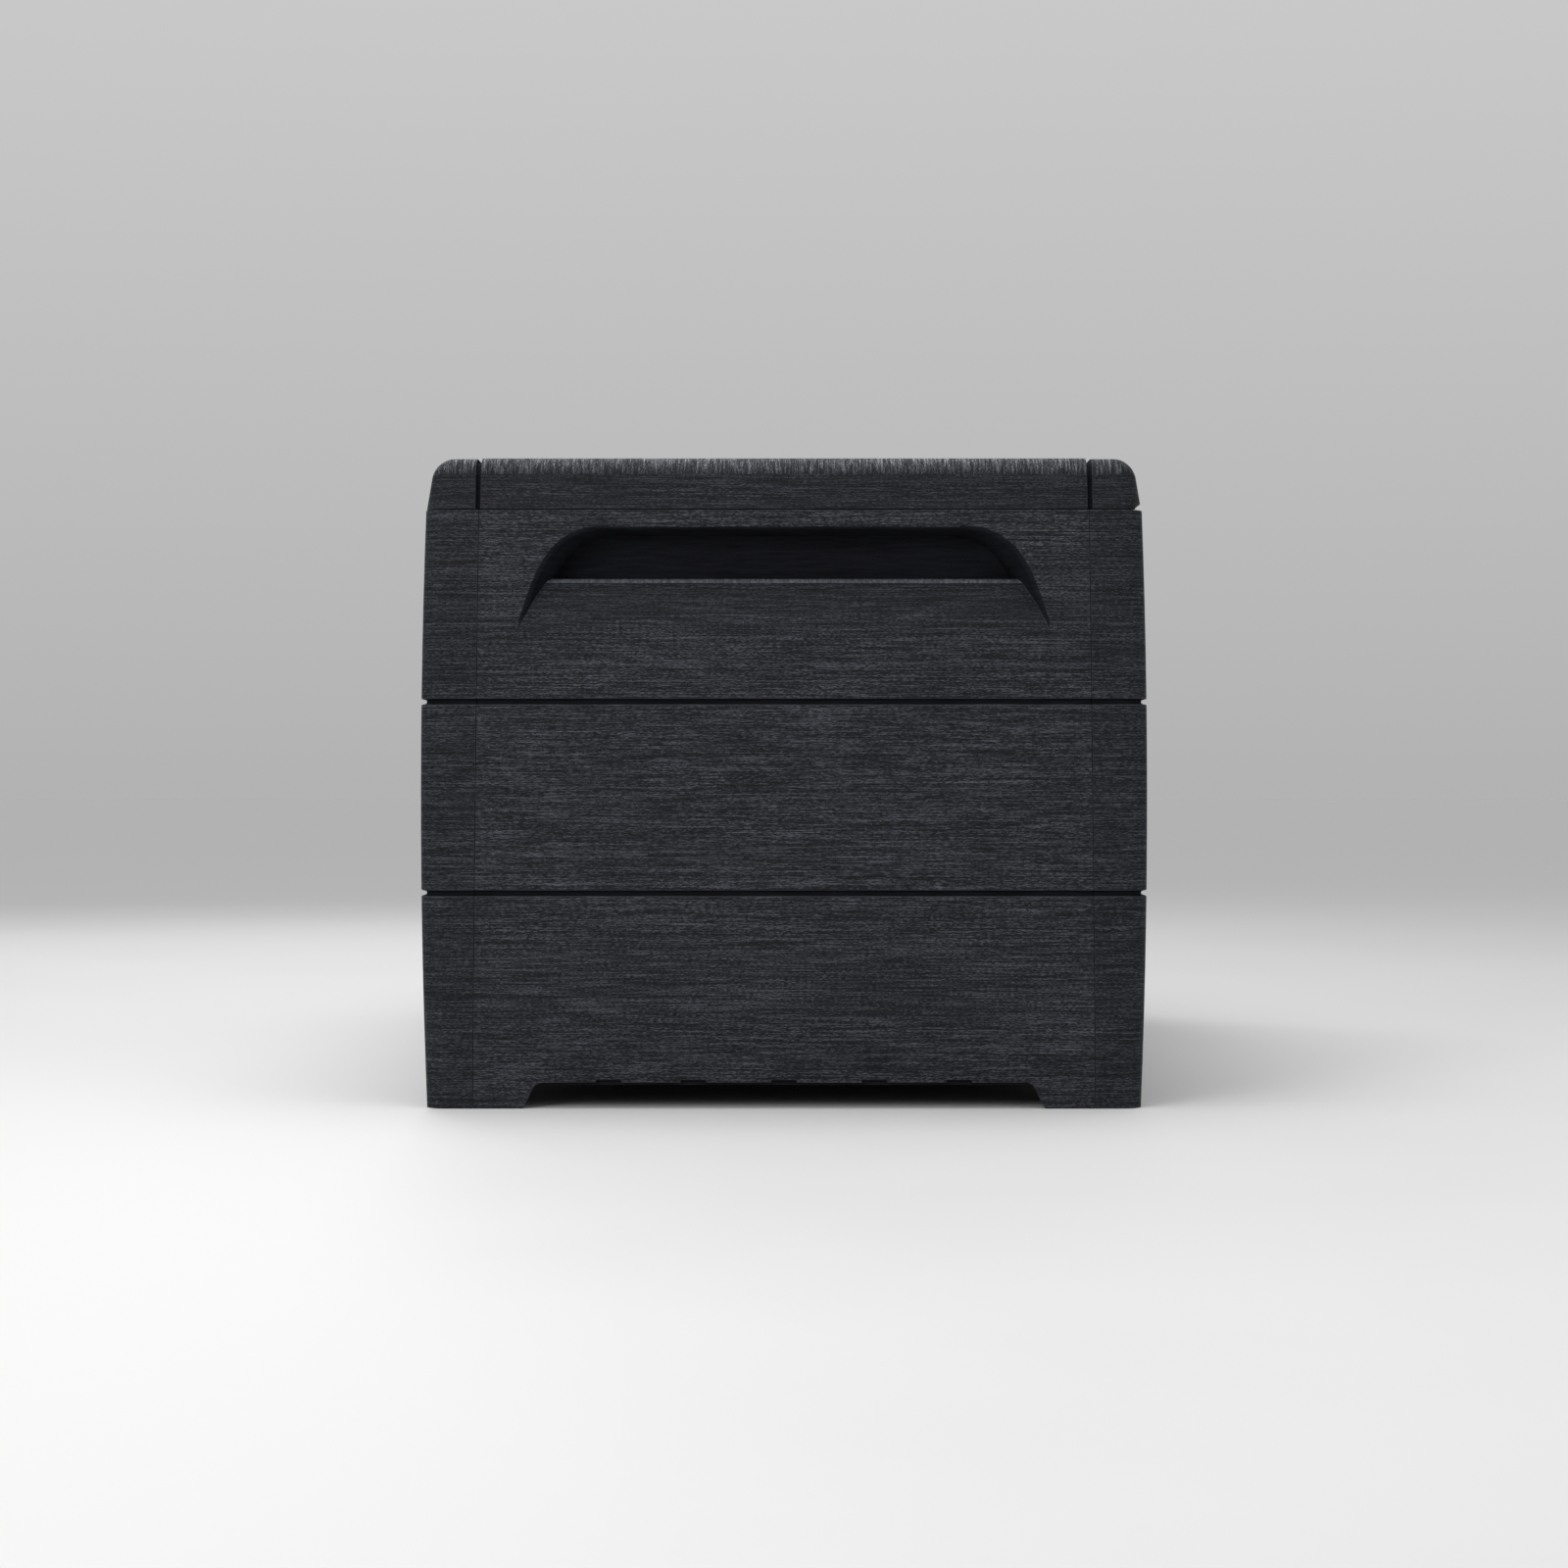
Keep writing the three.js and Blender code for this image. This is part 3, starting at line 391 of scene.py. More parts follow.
def long_wall(side):
    outer = (side * 300, side * FAR)
    wall = common(wall_tube(), beyond_seam(side, SEAM_GAP / 2))
    rib_room = block(EVERYWHERE, outer, (RIB_LOW, BODY_TOP - 1))
    ribs = common(layer(WALL - 1, WALL + RIB_DEPTH), rib_room)
    keep = [block(span(x, RIB_WIDTH), outer, EVERYWHERE) for x in RIB_PLACES]
    ribs = common(ribs, joined(*keep))
    gap = [(height, across) for across, height in foot_gap(LENGTH / 2 - FOOT_WIDTH)]
    cuts = [prism("y", gap, *outer)]
    for i in range(-5, 6):
        cuts.append(block(span(i * NOTCH_PITCH_LONG, NOTCH_WIDTH), outer, (0, NOTCH_TOP)))
    return cut(joined(wall, ribs), *cuts)


def front_panel():
    def recess(grow):
        return block(
            (-RECESS_HALF_WIDTH - grow, RECESS_HALF_WIDTH + grow),
            (-FAR, RECESS_BACK_Y + grow),
            (RECESS_BOTTOM - grow, BODY_TOP if grow else FAR),
        )

    cup = common(recess(WALL), envelope(0))
    return cut(joined(long_wall(-1), cup), recess(0))


def hinge_pocket(x):
    under_knuckles = block(span(x, HINGE_ROOM), (LEAF_Y[0] - 0.8, FAR), (BODY_TOP - 0.8, FAR))
    around = (LEAF_Y[0] - 0.8, LEAF_Y[1] + 1)
    leaf_room = block(span(x, HINGE_ROOM), around, (BODY_TOP - RIM_THICKNESS - 1, FAR - 1))
    return joined(under_knuckles, leaf_room)


def back_panel():
    places = [place.x for place in HINGE_PLACES.values()]
    pad_y = (LEAF_Y[1] + 0.4, 352)
    pad_z = (LEAF_LOW - 2, BODY_TOP - 8.2)
    pads = [common(block(span(x, HINGE_WIDTH), pad_y, pad_z), envelope(0)) for x in places]
    return cut(joined(long_wall(1), *pads), *[hinge_pocket(x) for x in places])


# ---- hand grip ----
def grip_tail(x, side_inset, depth):
    """Where the grip's outline ends below its bottom corner, where the rounded ramp runs out."""
    y = GRIP_MOUTH[0][0] - side_inset + GRIP_TAIL_OUT
    z = GRIP_BOTTOM - GRIP_TAIL_DROP
    return (x if depth is None else LENGTH / 2 - bow(z) - depth, y, z)


def grip_ring(x, side_inset, top_inset, depth=None):
    """The grip's outline at x, or at a depth behind the bowed face, drawn in by the two insets."""
    half = [grip_tail(x, side_inset, depth)]
    for point in cubic(GRIP_MOUTH, 22):
        rise = (point.y - GRIP_BOTTOM) / (GRIP_TOP - GRIP_BOTTOM)
        y = point.x * (1 - side_inset / GRIP_MOUTH[0][0])
        z = point.y - top_inset * rise
        half.append((x if depth is None else LENGTH / 2 - bow(z) - depth, y, z))
    return half + [(at, -y, z) for at, y, z in reversed(half)]


def grip_section(skin):
    """The grip's section as (height, X): soft start, ramp, rounded lip, ledge and back."""
    ledge = GRIP_LEDGE - skin
    run = skin * math.hypot(1, GRIP_SLOPE) / GRIP_SLOPE
    ramp_start = GRIP_BOTTOM - 16.4

    def ramp_depth(z):
        return (z - ramp_start) / GRIP_SLOPE - 8 + run

    if skin:
        profile = [(ramp_depth(ramp_start), ramp_start), (ramp_depth(ledge), ledge)]
    else:
        low, knee, high = 464, 480, 500
        start = (ramp_depth(knee) - 1.5, low)
        knee_point = (ramp_depth(knee), knee)
        profile = [(start[0] - 12, low), start]
        profile += quadratic(start, knee_point, (ramp_depth(high), high), 10)
        tilt = math.atan(GRIP_SLOPE)
        turn = GRIP_LIP_RADIUS * math.tan(tilt / 2)
        for i in range(9):
            angle = tilt * (1 - i / 8)
            depth = ramp_depth(ledge) + turn - GRIP_LIP_RADIUS * math.sin(angle)
            profile.append((depth, ledge - GRIP_LIP_RADIUS * (1 - math.cos(angle))))
    profile += [(GRIP_DEPTH + skin, ledge), (GRIP_DEPTH + skin, 610), (profile[0][0], 610)]
    return [(z, GRIP_FACE_X - depth) for depth, z in profile]


def grip_solid(skin):
    rings = [
        grip_ring(GRIP_FACE_X - GRIP_DEPTH - skin, 19 - skin, 6 - skin),
        grip_ring(GRIP_FACE_X - 20 - skin / 2, 15 - skin, 4.6 - skin),
        grip_ring(GRIP_FACE_X - 10 - skin / 2, 8.5 - skin, 3.4 - skin),
    ]
    for i in range(6, -1, -1):
        angle = math.pi / 2 * i / 6
        depth = GRIP_MOUTH_RADIUS * (1 - math.cos(angle))
        inset = GRIP_MOUTH_RADIUS * math.sin(angle) - 2 - skin
        rings.append(grip_ring(0, inset * 1.5, inset, depth))
    rings.append(grip_ring(GRIP_FACE_X + 8, -3 - skin, -2 - skin))
    return common(loft(rings), prism("y", grip_section(skin), -300, 300))


def end_panel():
    """The right-hand end panel, at +X."""
    wall = common(wall_tube(), between_seams(-SEAM_GAP / 2))
    wall = common(wall, block((0, FAR), EVERYWHERE, EVERYWHERE))
    heights = block((600, FAR), EVERYWHERE, (RIB_LOW, BODY_TOP - RIM_THICKNESS - 2))
    middle = block((500, FAR), span(0, 580), EVERYWHERE)
    tongue = common(layer(WALL + 0.4, 2 * WALL + 0.4), between_seams(TONGUE))
    root = common(layer(WALL - 1, 2 * WALL), between_seams(-2))
    clip = cut(common(joined(tongue, root), heights), middle)
    cup = common(grip_solid(WALL), envelope(0))
    cuts = [grip_solid(0), prism("x", foot_gap(DEPTH / 2 - FOOT_WIDTH), 600, FAR)]
    for y in NOTCH_PLACES_END:
        cuts.append(block((600, FAR), span(y, NOTCH_WIDTH), (0, NOTCH_TOP)))
    return cut(joined(wall, clip, cup), *cuts)


# ---- lid ----
def lid_envelope(skin, low=None, top=None):
    """The lid's outline, moved inwards by skin: leaning sides, a rounded edge and a flat top."""
    low = LID_BOTTOM if low is None else low
    top = LID_TOP if top is None else top
    centre_height = top - LID_EDGE_RADIUS
    tangent_height = centre_height + LID_EDGE_RADIUS * math.sin(LID_LEAN)

    def inset_at(z):
        return bow(BODY_TOP) + (z - LID_BOTTOM) * math.tan(LID_LEAN)

    centre_inset = inset_at(tangent_height) + LID_EDGE_RADIUS * math.cos(LID_LEAN)
    radius = LID_EDGE_RADIUS - skin
    levels = [(low, inset_at(low) + skin / math.cos(LID_LEAN))]
    steps = 14
    for i in range(steps + 1):
        angle = LID_LEAN + i / steps * (math.pi / 2 - LID_LEAN)
        inset = centre_inset - radius * math.cos(angle)
        levels.append((centre_height + radius * math.sin(angle), inset))
    rings = []
    for z, inset in levels:
        corner = max(LID_CORNER_RADIUS - (inset - bow(BODY_TOP)), 3)
        rings.append(rounded_ring(LENGTH / 2 - inset, DEPTH / 2 - inset, corner, z))
    return loft(rings)


def lid_groove_bands(width):
    places = [span(side * LID_GROOVE_Y, width) for side in SIDES]
    return joined(*[block(EVERYWHERE, place, (500, FAR)) for place in places])


def lid_outer():
    field_room = block(EVERYWHERE, (-LID_GROOVE_Y, LID_GROOVE_Y), EVERYWHERE)
    rails = lid_envelope(0, top=LID_TOP - LID_RAIL_DROP)
    shape = joined(rails, common(lid_envelope(0), field_room))
    under_grooves = lid_envelope(LID_GROOVE_DEPTH, LID_BOTTOM - 5)
    grooves = cut(lid_groove_bands(LID_GROOVE_WIDTH), under_grooves)
    backing = cut(
        lid_groove_bands(LID_GROOVE_WIDTH + 2 * WALL),
        lid_envelope(LID_GROOVE_DEPTH + WALL, LID_BOTTOM - 10),
    )
    hollow = cut(lid_envelope(WALL, LID_BOTTOM - 5), backing)
    relief = block(EVERYWHERE, (345.2, FAR), (0, HINGE_Z + 1.1))
    rooms = [
        block(span(place.x, HINGE_ROOM), (335, FAR), (0, HINGE_Z + 7))
        for place in HINGE_PLACES.values()
    ]
    return cut(shape, hollow, grooves, relief, *rooms)


# ---- materials ----
class Surface:
    """A procedural material under construction, with short names for the nodes it uses."""

    def __init__(self, name):
        self.material = bpy.data.materials.new(name)
        self.material.use_nodes = True
        self.tree = self.material.node_tree
        self.shader = self.tree.nodes["Principled BSDF"]
        self.place = self.tree.nodes.new("ShaderNodeTexCoord").outputs["Object"]

    def node(self, kind, inputs, output=0, **settings):
        made = self.tree.nodes.new(kind)
        for key, value in settings.items():
            setattr(made, key, value)
        for key, value in inputs.items():
            if isinstance(value, bpy.types.NodeSocket):
                self.tree.links.new(value, made.inputs[key])
            else:
                made.inputs[key].default_value = value
        return made.outputs[output]

    def noise(self, scale, detail=3.0, roughness=0.55, place=None):
        """Noise whose features repeat scale times a metre, along X, Y and Z."""
        inputs = {"Vector": place or self.place, "Scale": scale}
        stretched = self.node("ShaderNodeMapping", inputs)
        inputs = {"Vector": stretched, "Scale": 1.0, "Detail": detail, "Roughness": roughness}
        return self.node("ShaderNodeTexNoise", inputs)

    def maths(self, operation, first, second=0.0):
        return self.node("ShaderNodeMath", {0: first, 1: second}, operation=operation)

    def remap(self, value, low, high, to_low=0.0, to_high=1.0):
        inputs = {
            "Value": value,
            "From Min": low,
            "From Max": high,
            "To Min": to_low,
            "To Max": to_high,
        }
        return self.node("ShaderNodeMapRange", inputs)

    def mix_values(self, factor, first, second):
        return self.node("ShaderNodeMix", {0: factor, 2: first, 3: second})

    def blend(self, factor, *colours):
        """A colour between two, each given as red, green and blue or as a socket."""
        inputs = {0: factor}
        for key, colour in zip((6, 7), colours):
            inputs[key] = colour if isinstance(colour, bpy.types.NodeSocket) else (*colour, 1)
        return self.node("ShaderNodeMix", inputs, output=2, data_type="RGBA")

    def finish(self, colour, roughness, height=None, depth=0.0, metallic=0.0, specular=0.5):
        """Wires colour, roughness and a relief of depth millimetres into the shader."""
        links = self.tree.links
        links.new(colour, self.shader.inputs["Base Color"])
        links.new(roughness, self.shader.inputs["Roughness"])
        if height is not None:
            inputs = {"Height": height, "Distance": depth * MM, "Strength": 0.8}
            links.new(self.node("ShaderNodeBump", inputs), self.shader.inputs["Normal"])
        self.shader.inputs["Metallic"].default_value = metallic
        self.shader.inputs["Specular IOR Level"].default_value = specular
        return self.material


def grained_resin(name, pitch, dark, light, relief=0.3, roughness=0.55, sharpness=2.0, fade=None):
    """Brushed wood grain with a fine grit. pitch holds how often the streaks change along X, Y and
    Z, per metre, and fade the heights over which the light streaks rise from painted shade to a
    painted highlight."""
    surface = Surface(name)
    waver = surface.maths("MULTIPLY", surface.noise((4, 4, 9), detail=2), 0.0012)
    shift = surface.node("ShaderNodeCombineXYZ", {"Z": waver})
    inputs = {0: surface.place, 1: shift}
    place = surface.node("ShaderNodeVectorMath", inputs, operation="ADD")
    broad = surface.noise(tuple(0.35 * value for value in pitch), 2, 0.6, place)
    fine = surface.noise(pitch, 2, 0.7, place)
    grit = surface.noise(tuple(min(14 * value, 1400) for value in pitch), 2, 0.7, place)
    brushed = surface.mix_values(0.52, surface.mix_values(0.85, broad, fine), grit)
    streaks = surface.remap(brushed, 0.432, 0.595)
    patches = surface.noise((9, 9, 30), detail=3)
    contrast = surface.remap(patches, 0.33, 0.67, 0.7, 1.0)
    sharpened = surface.maths("POWER", surface.maths("MAXIMUM", streaks, 0.0), sharpness)
    mask = surface.maths("MULTIPLY", sharpened, contrast)
    if fade:
        # Painted highlight: the light streak colour rises with height out of the painted shade colour.
        height = surface.node("ShaderNodeSeparateXYZ", {"Vector": surface.place}, output=2)
        light = surface.blend(surface.remap(height, *fade), STREAK_PAINTED_SHADE, light)
    colour = surface.blend(mask, dark, light)
    rough = surface.remap(mask, 0, 1, roughness + 0.12, roughness - 0.05)
    return surface.finish(colour, rough, mask, relief, specular=0.15)


def satin_resin(name, dark, light, roughness=0.5, specular=0.35):
    """The plain moulded resin of edges, recesses and inner faces: a fine spark-eroded texture."""
    surface = Surface(name)
    cloud = surface.noise((14, 14, 14), detail=4)
    pits = surface.noise((900, 900, 900), 2, 0.6)
    streaks = surface.noise((30, 30, 380), detail=2)
    mask = surface.mix_values(0.5, surface.mix_values(0.5, cloud, pits), streaks)
    colour = surface.blend(surface.remap(mask, 0.35, 0.65), dark, light)
    rough = surface.remap(cloud, 0.3, 0.7, roughness - 0.07, roughness + 0.07)
    return surface.finish(colour, rough, pits, 0.03, specular=specular)


def metal(name, dark, light, roughness, metallic, pitch=(400, 400, 400), relief=0.01):
    surface = Surface(name)
    cloud = surface.noise((60, 60, 60), detail=4)
    fine = surface.noise(pitch, detail=3)
    mixed = surface.mix_values(0.5, cloud, fine)
    colour = surface.blend(surface.remap(mixed, 0.3, 0.7), dark, light)
    rough = surface.remap(fine, 0.3, 0.7, roughness - 0.06, roughness + 0.08)
    return surface.finish(colour, rough, fine, relief, metallic)


STREAK_DARK = (0.003, 0.0033, 0.0046)
STREAK_LIGHT = (0.071, 0.0758, 0.0907)
# Painted shade: a dimmer light-streak colour for rounded corners, which turn away from the lamps.
CORNER_STREAK_PAINTED_SHADE = (0.05, 0.0535, 0.065)
# Painted shade: a dimmer light-streak colour for the lid's leaning sides and the grip's ramp, also the
# dark end of the lip and crest.
STREAK_PAINTED_SHADE = (0.036, 0.0385, 0.047)
# Painted highlight: a bright streak colour on the crest of the lid's end roundings.
CREST_PAINTED_HIGHLIGHT = (0.26, 0.274, 0.307)
# Painted highlight: a bright streak colour on the grip's rounded lip.
LIP_PAINTED_HIGHLIGHT = (0.14, 0.148, 0.168)
ALONG_WALL = (19, 19, 1050)
# Heights over which the painted highlight on the crest rises from the painted shade.
CREST_HIGHLIGHT_FADE = (0.621, 0.637)
GRAINS = {
    "wall": ("charcoal_wall_grain", ALONG_WALL, STREAK_DARK, STREAK_LIGHT),
    "corner": ("charcoal_corner_grain", ALONG_WALL, STREAK_DARK, CORNER_STREAK_PAINTED_SHADE, 0.2, 0.6),
    "lid": ("charcoal_lid_grain", (26, 620, 60), STREAK_DARK, STREAK_LIGHT, 0.25, 0.6),
    "crest": (
        "charcoal_crest_grain", (26, 600, 60), STREAK_DARK, CREST_PAINTED_HIGHLIGHT, 0.3, 0.6, 2.6, CREST_HIGHLIGHT_FADE,
    ),
    "rail": ("charcoal_rail_grain", (26, 620, 620), STREAK_DARK, STREAK_LIGHT, 0.25, 0.6),
    "quiet": ("charcoal_quiet_grain", ALONG_WALL, STREAK_DARK, STREAK_PAINTED_SHADE, 0.15, 0.62),
    "lip": ("charcoal_lip_grain", (60, 320, 160), STREAK_PAINTED_SHADE, LIP_PAINTED_HIGHLIGHT, 0.3, 0.6, 1.5),
}
RESINS = {
    "satin": ("charcoal_satin", (0.009, 0.0096, 0.0122), (0.02, 0.0212, 0.026)),
    # Painted shade: a very dark resin for grooves, seam gaps, the grip's hollow and the floor's edge.
    "recess": (
        "charcoal_recess", (0.004, 0.0043, 0.0058), (0.0105, 0.0112, 0.0144), 0.8, 0.05,
    ),
    "edge": ("charcoal_worn_edge", (0.013, 0.0138, 0.0172), (0.036, 0.038, 0.045), 0.6, 0.15),
    "nylon": ("black_nylon", (0.006, 0.006, 0.007), (0.013, 0.013, 0.014), 0.38, 0.5),
}
METALS = {
    "enamel": ("black_enamel", (0.005, 0.005, 0.006), (0.012, 0.012, 0.013), 0.25, 0.0),
    "zinc": ("zinc_plate", (0.42, 0.43, 0.44), (0.62, 0.63, 0.64), 0.36, 1.0),
    "chrome": ("hard_chrome", (0.62, 0.63, 0.65), (0.78, 0.79, 0.8), 0.1, 1.0),
}
looks = {}
for make, recipes in ((grained_resin, GRAINS), (satin_resin, RESINS), (metal, METALS)):
    for look, recipe in recipes.items():
        looks[look] = make(*recipe)
GRAINED = ("wall", "corner", "lid", "crest", "rail", "quiet")
SHELL_LOOKS = (*GRAINED, "lip", "satin", "recess", "edge")


# ---- finished shells ----
def near_groove(z):
    return any(abs(z - groove) < GROOVE_HALF + 0.2 for groove in GROOVE_HEIGHTS)


def in_grip(centre, normal):
    """Whether a face looks into the hollow of a hand grip."""
    near = abs(centre.x) > GRIP_FACE_X - GRIP_DEPTH - 1 and abs(centre.y) < 262
    if not near or not GRIP_BOTTOM - 26 < centre.z < GRIP_TOP:
        return False
    faces_out = centre.x * normal.x > 0.2 * abs(centre.x)
    faces_middle = centre.y * normal.y < -0.2 * abs(centre.y)
    is_ceiling = normal.z < -0.2 and centre.z > GRIP_LEDGE
    is_ledge = normal.z > 0.2 and centre.z < GRIP_LEDGE + 1
    return faces_out or faces_middle or is_ceiling or is_ledge


def wall_look(centre, normal):
    """Grain on the walls' outer faces, satin inside, painted shade in the grooves, seams, grip hollow
    and ramp and on rounded corners, a painted highlight on the grip's lip.
    """
    inset = bow(centre.z)
    from_end = LENGTH / 2 - inset - abs(centre.x)
    depth = min(from_end, DEPTH / 2 - inset - abs(centre.y))
    outward = centre.x * normal.x + centre.y * normal.y > 0
    if in_grip(centre, normal) and depth > 0.15:
        # The hollow and its ceiling get painted shade, its lip a painted highlight and the ramp below
        # painted shade.
        if centre.z > GRIP_LEDGE + 1 or normal.z < 0.05 or depth > GRIP_DEPTH - 10:
            return "recess"
        if normal.z > 0.45:
            return "lip"
        return "quiet" if centre.z > GRIP_BOTTOM + 7 else "corner"
    # Grooves and seam gaps get the recess look: painted shade.
    if outward and depth > 0.2 and near_groove(centre.z):
        return "recess"
    from_seam = abs(centre.y) - seam_at(centre.z)
    if abs(from_seam) < SEAM_GAP and abs(normal.y) > 0.9 and from_end < 20:
        return "recess"
    if depth > 1.2 and (depth > 6 or not outward):
        return "satin"
    # Rounded corners get the corner look: dimmer streaks as painted shade where the faces turn from
    # the light.
    if min(abs(normal.x), abs(normal.y)) > 0.35 or (abs(normal.x) > 0.9 and from_seam > 0):
        return "corner"
    return "wall"


def lid_look(centre, normal):
    """Grain on the lid's top and sides, a painted highlight on the crest of its end roundings, painted
    shade in the grooves and on the leaning sides, satin inside.
    """
    outward = centre.x * normal.x + centre.y * normal.y > 0
    beside_groove = abs(abs(centre.y) - LID_GROOVE_Y) < LID_GROOVE_WIDTH / 2 + 0.1
    # Groove walls get the recess look: painted shade.
    if beside_groove and (abs(normal.y) > 0.9 or centre.z < LID_TOP - 3):
        return "recess"
    if normal.z > 0.25 and centre.z > LID_BOTTOM + 20:
        # End roundings: a painted highlight (crest look) high up, painted shade (corner look) at their
        # foot.
        if abs(normal.x) > abs(normal.y) and normal.z < 0.985:
            return "crest" if normal.z > 0.27 else "corner"
        return "lid" if normal.z > 0.985 else "rail"
    if normal.z > 0.25:
        return "satin"
    if normal.z < -0.3 or not outward:
        return "satin"
    # Leaning sides get the dimmer grain: painted shade.
    return "quiet"


def place_piece(piece, node, surfaces):
    """A scratch solid becomes the finished piece that stands for a CAD node and moves with it."""
    mesh = piece.data
    mesh.materials.clear()
    for surface in surfaces:
        mesh.materials.append(surface)
    mesh.transform(Matrix.Scale(MM, 4))
    piece.name = f"fine_{node}"
    mesh.name = piece.name
    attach(piece, body_of[node])
    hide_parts(node)


def add_bevel(piece, width, clamped):
    bevel = piece.modifiers.new("rounded_edges", "BEVEL")
    bevel.width = width
    bevel.segments = 2
    bevel.limit_method = "ANGLE"
    bevel.angle_limit = SMOOTH_ANGLE
    bevel.use_clamp_overlap = clamped
    return bevel


def finish_shell(piece, node, choose):
    """Rounds a shell's edges and gives every face a look, with a worn look on outer edges."""
    tidy = bmesh.new()
    tidy.from_mesh(piece.data)
    # The shell is halved both ways first: a flat face that runs right round it would fill its opening.
    for across in ((1, 0, 0), (0, 1, 0)):
        everything = [*tidy.verts, *tidy.edges, *tidy.faces]
        halved = bmesh.ops.bisect_plane(tidy, geom=everything, plane_co=(0, 0, 0), plane_no=across)
        for part in halved["geom_cut"]:
            if isinstance(part, bmesh.types.BMEdge):
                part.seam = True
    flat = {"angle_limit": FLAT_ANGLE, "verts": tidy.verts, "edges": tidy.edges}
    bmesh.ops.dissolve_limit(tidy, delimit={"SEAM"}, **flat)
    for face in tidy.faces:
        face.material_index = 0
    tidy.to_mesh(piece.data)
    tidy.free()
    piece.data.materials.clear()
    piece.data.materials.append(looks["satin"])
    piece.data.materials.append(looks["edge"])
    add_bevel(piece, SHELL_ROUNDING, clamped=False).material = 1
    piece = combine("UNION", piece, [])
    chosen = []
    for face in piece.data.polygons:
        look = choose(face.center, face.normal)
        if face.material_index == 1 and look in GRAINED:
            look = "edge"
        chosen.append(SHELL_LOOKS.index(look))
    place_piece(piece, node, [looks[look] for look in SHELL_LOOKS])
    for face, index in zip(piece.data.polygons, chosen):
        face.material_index = index
    piece.data.shade_smooth()
    normals = piece.modifiers.new("flat_faces", "WEIGHTED_NORMAL")
    normals.keep_sharp = True
    normals.weight = 60


def shells():
    right = drilled(end_panel(), "strut_screw_body_right")
    left = mirrored(right)
    finish_shell(drilled(front_panel(), "lock_screw_body"), "front_panel", wall_look)
    finish_shell(drilled(back_panel(), "hinge_screw_body"), "back_panel", wall_look)
    finish_shell(right, "end_panel_right", wall_look)
    finish_shell(left, "end_panel_left", wall_look)
    finish_shell(lid_outer(), "lid_outer", lid_look)


# ---- screws ----
SCREW_RADIUS = 2
SCREW_HOLE_RADIUS = 2.35
SCREW_HEAD_RADIUS = 4
SCREW_HEAD_HEIGHT = 2.4
THREAD_PITCH = 0.9
THREAD_ROOT_RADIUS = 1.6
SLOT_LENGTH = 3.8
SLOT_WIDTH = 0.8
SLOT_DEPTH = 1.1


def screws_of(group):
    return [node for node in frame["nodes"] if node.startswith(group) and "_screw_" in node]


def screw_line(screw):
    """Where a screw's head starts, which way its shank points and how long it is overall."""
    low, high = cad_box(screw)
    middle = (low + high) / 2
    direction = Vector((0, 1, 0))
    if "_lid_" in screw:
        direction = Vector((0, 0, 1))
    elif screw.startswith("strut"):
        direction = Vector((math.copysign(1, middle.x), 0, 0))
    length = abs((high - low).dot(direction))
    return middle - direction * length / 2, direction, length


def drilled(piece, *groups):
    """A piece with clearance round every screw in the groups."""
    rooms = []
    for screw in (screw for group in groups for screw in screws_of(group)):
        start, direction, length = screw_line(screw)
        room = turned([(SCREW_HOLE_RADIUS, 1), (SCREW_HOLE_RADIUS, length + 0.4)], 24)
        rooms.append(moved(room, start, direction))
    return cut(piece, *rooms)


def fine_screw(screw, roll):
    """A pan head with a cross recess, and a shank with a ridged thread."""
    start, direction, length = screw_line(screw)
    top = SCREW_HEAD_HEIGHT
    profile = [(1.0, 0), (2.2, 0.12), (3.1, 0.5), (3.75, 1.15), (SCREW_HEAD_RADIUS, 1.9)]
    profile += [(SCREW_HEAD_RADIUS - 0.1, top), (SCREW_RADIUS, top)]
    threads = round((length - top - 1) / THREAD_PITCH)
    pitch = (length - top - 0.8) / threads
    for i in range(threads):
        height = top + 0.2 + pitch * i
        profile += [(THREAD_ROOT_RADIUS, height), (SCREW_RADIUS, height + pitch / 2)]
    profile += [(THREAD_ROOT_RADIUS, length - 0.6), (0.9, length)]
    along, across, heights = span(0, SLOT_LENGTH), span(0, SLOT_WIDTH), (-1, SLOT_DEPTH)
    slots = [block(along, across, heights), block(across, along, heights)]
    return moved(cut(turned(profile, 28), *slots), start, direction, roll)


# ---- hinges ----
KNUCKLE_RADIUS = 5.5
KNUCKLE_MIDDLE = 39
PIN_RADIUS = 2.5
PIN_HOLE_RADIUS = 2.7
LEAF_RIDGE_X = 24
LEAF_RIDGE_WIDTH = 2.4


def barrel(radius, start, end):
    """A round bar on the hinge line."""
    return prism("x", disc((HINGE_Y, HINGE_Z), radius), start, end)


def plate_across(axis, u_range, v_range, thickness, corner):
    """A plate with softened corners, drawn across an axis as prism() draws it."""
    u0, u1 = sorted(u_range)
    v0, v1 = sorted(v_range)
    return prism(axis, softened([(u0, v0), (u1, v0), (u1, v1), (u0, v1)], corner), *thickness)


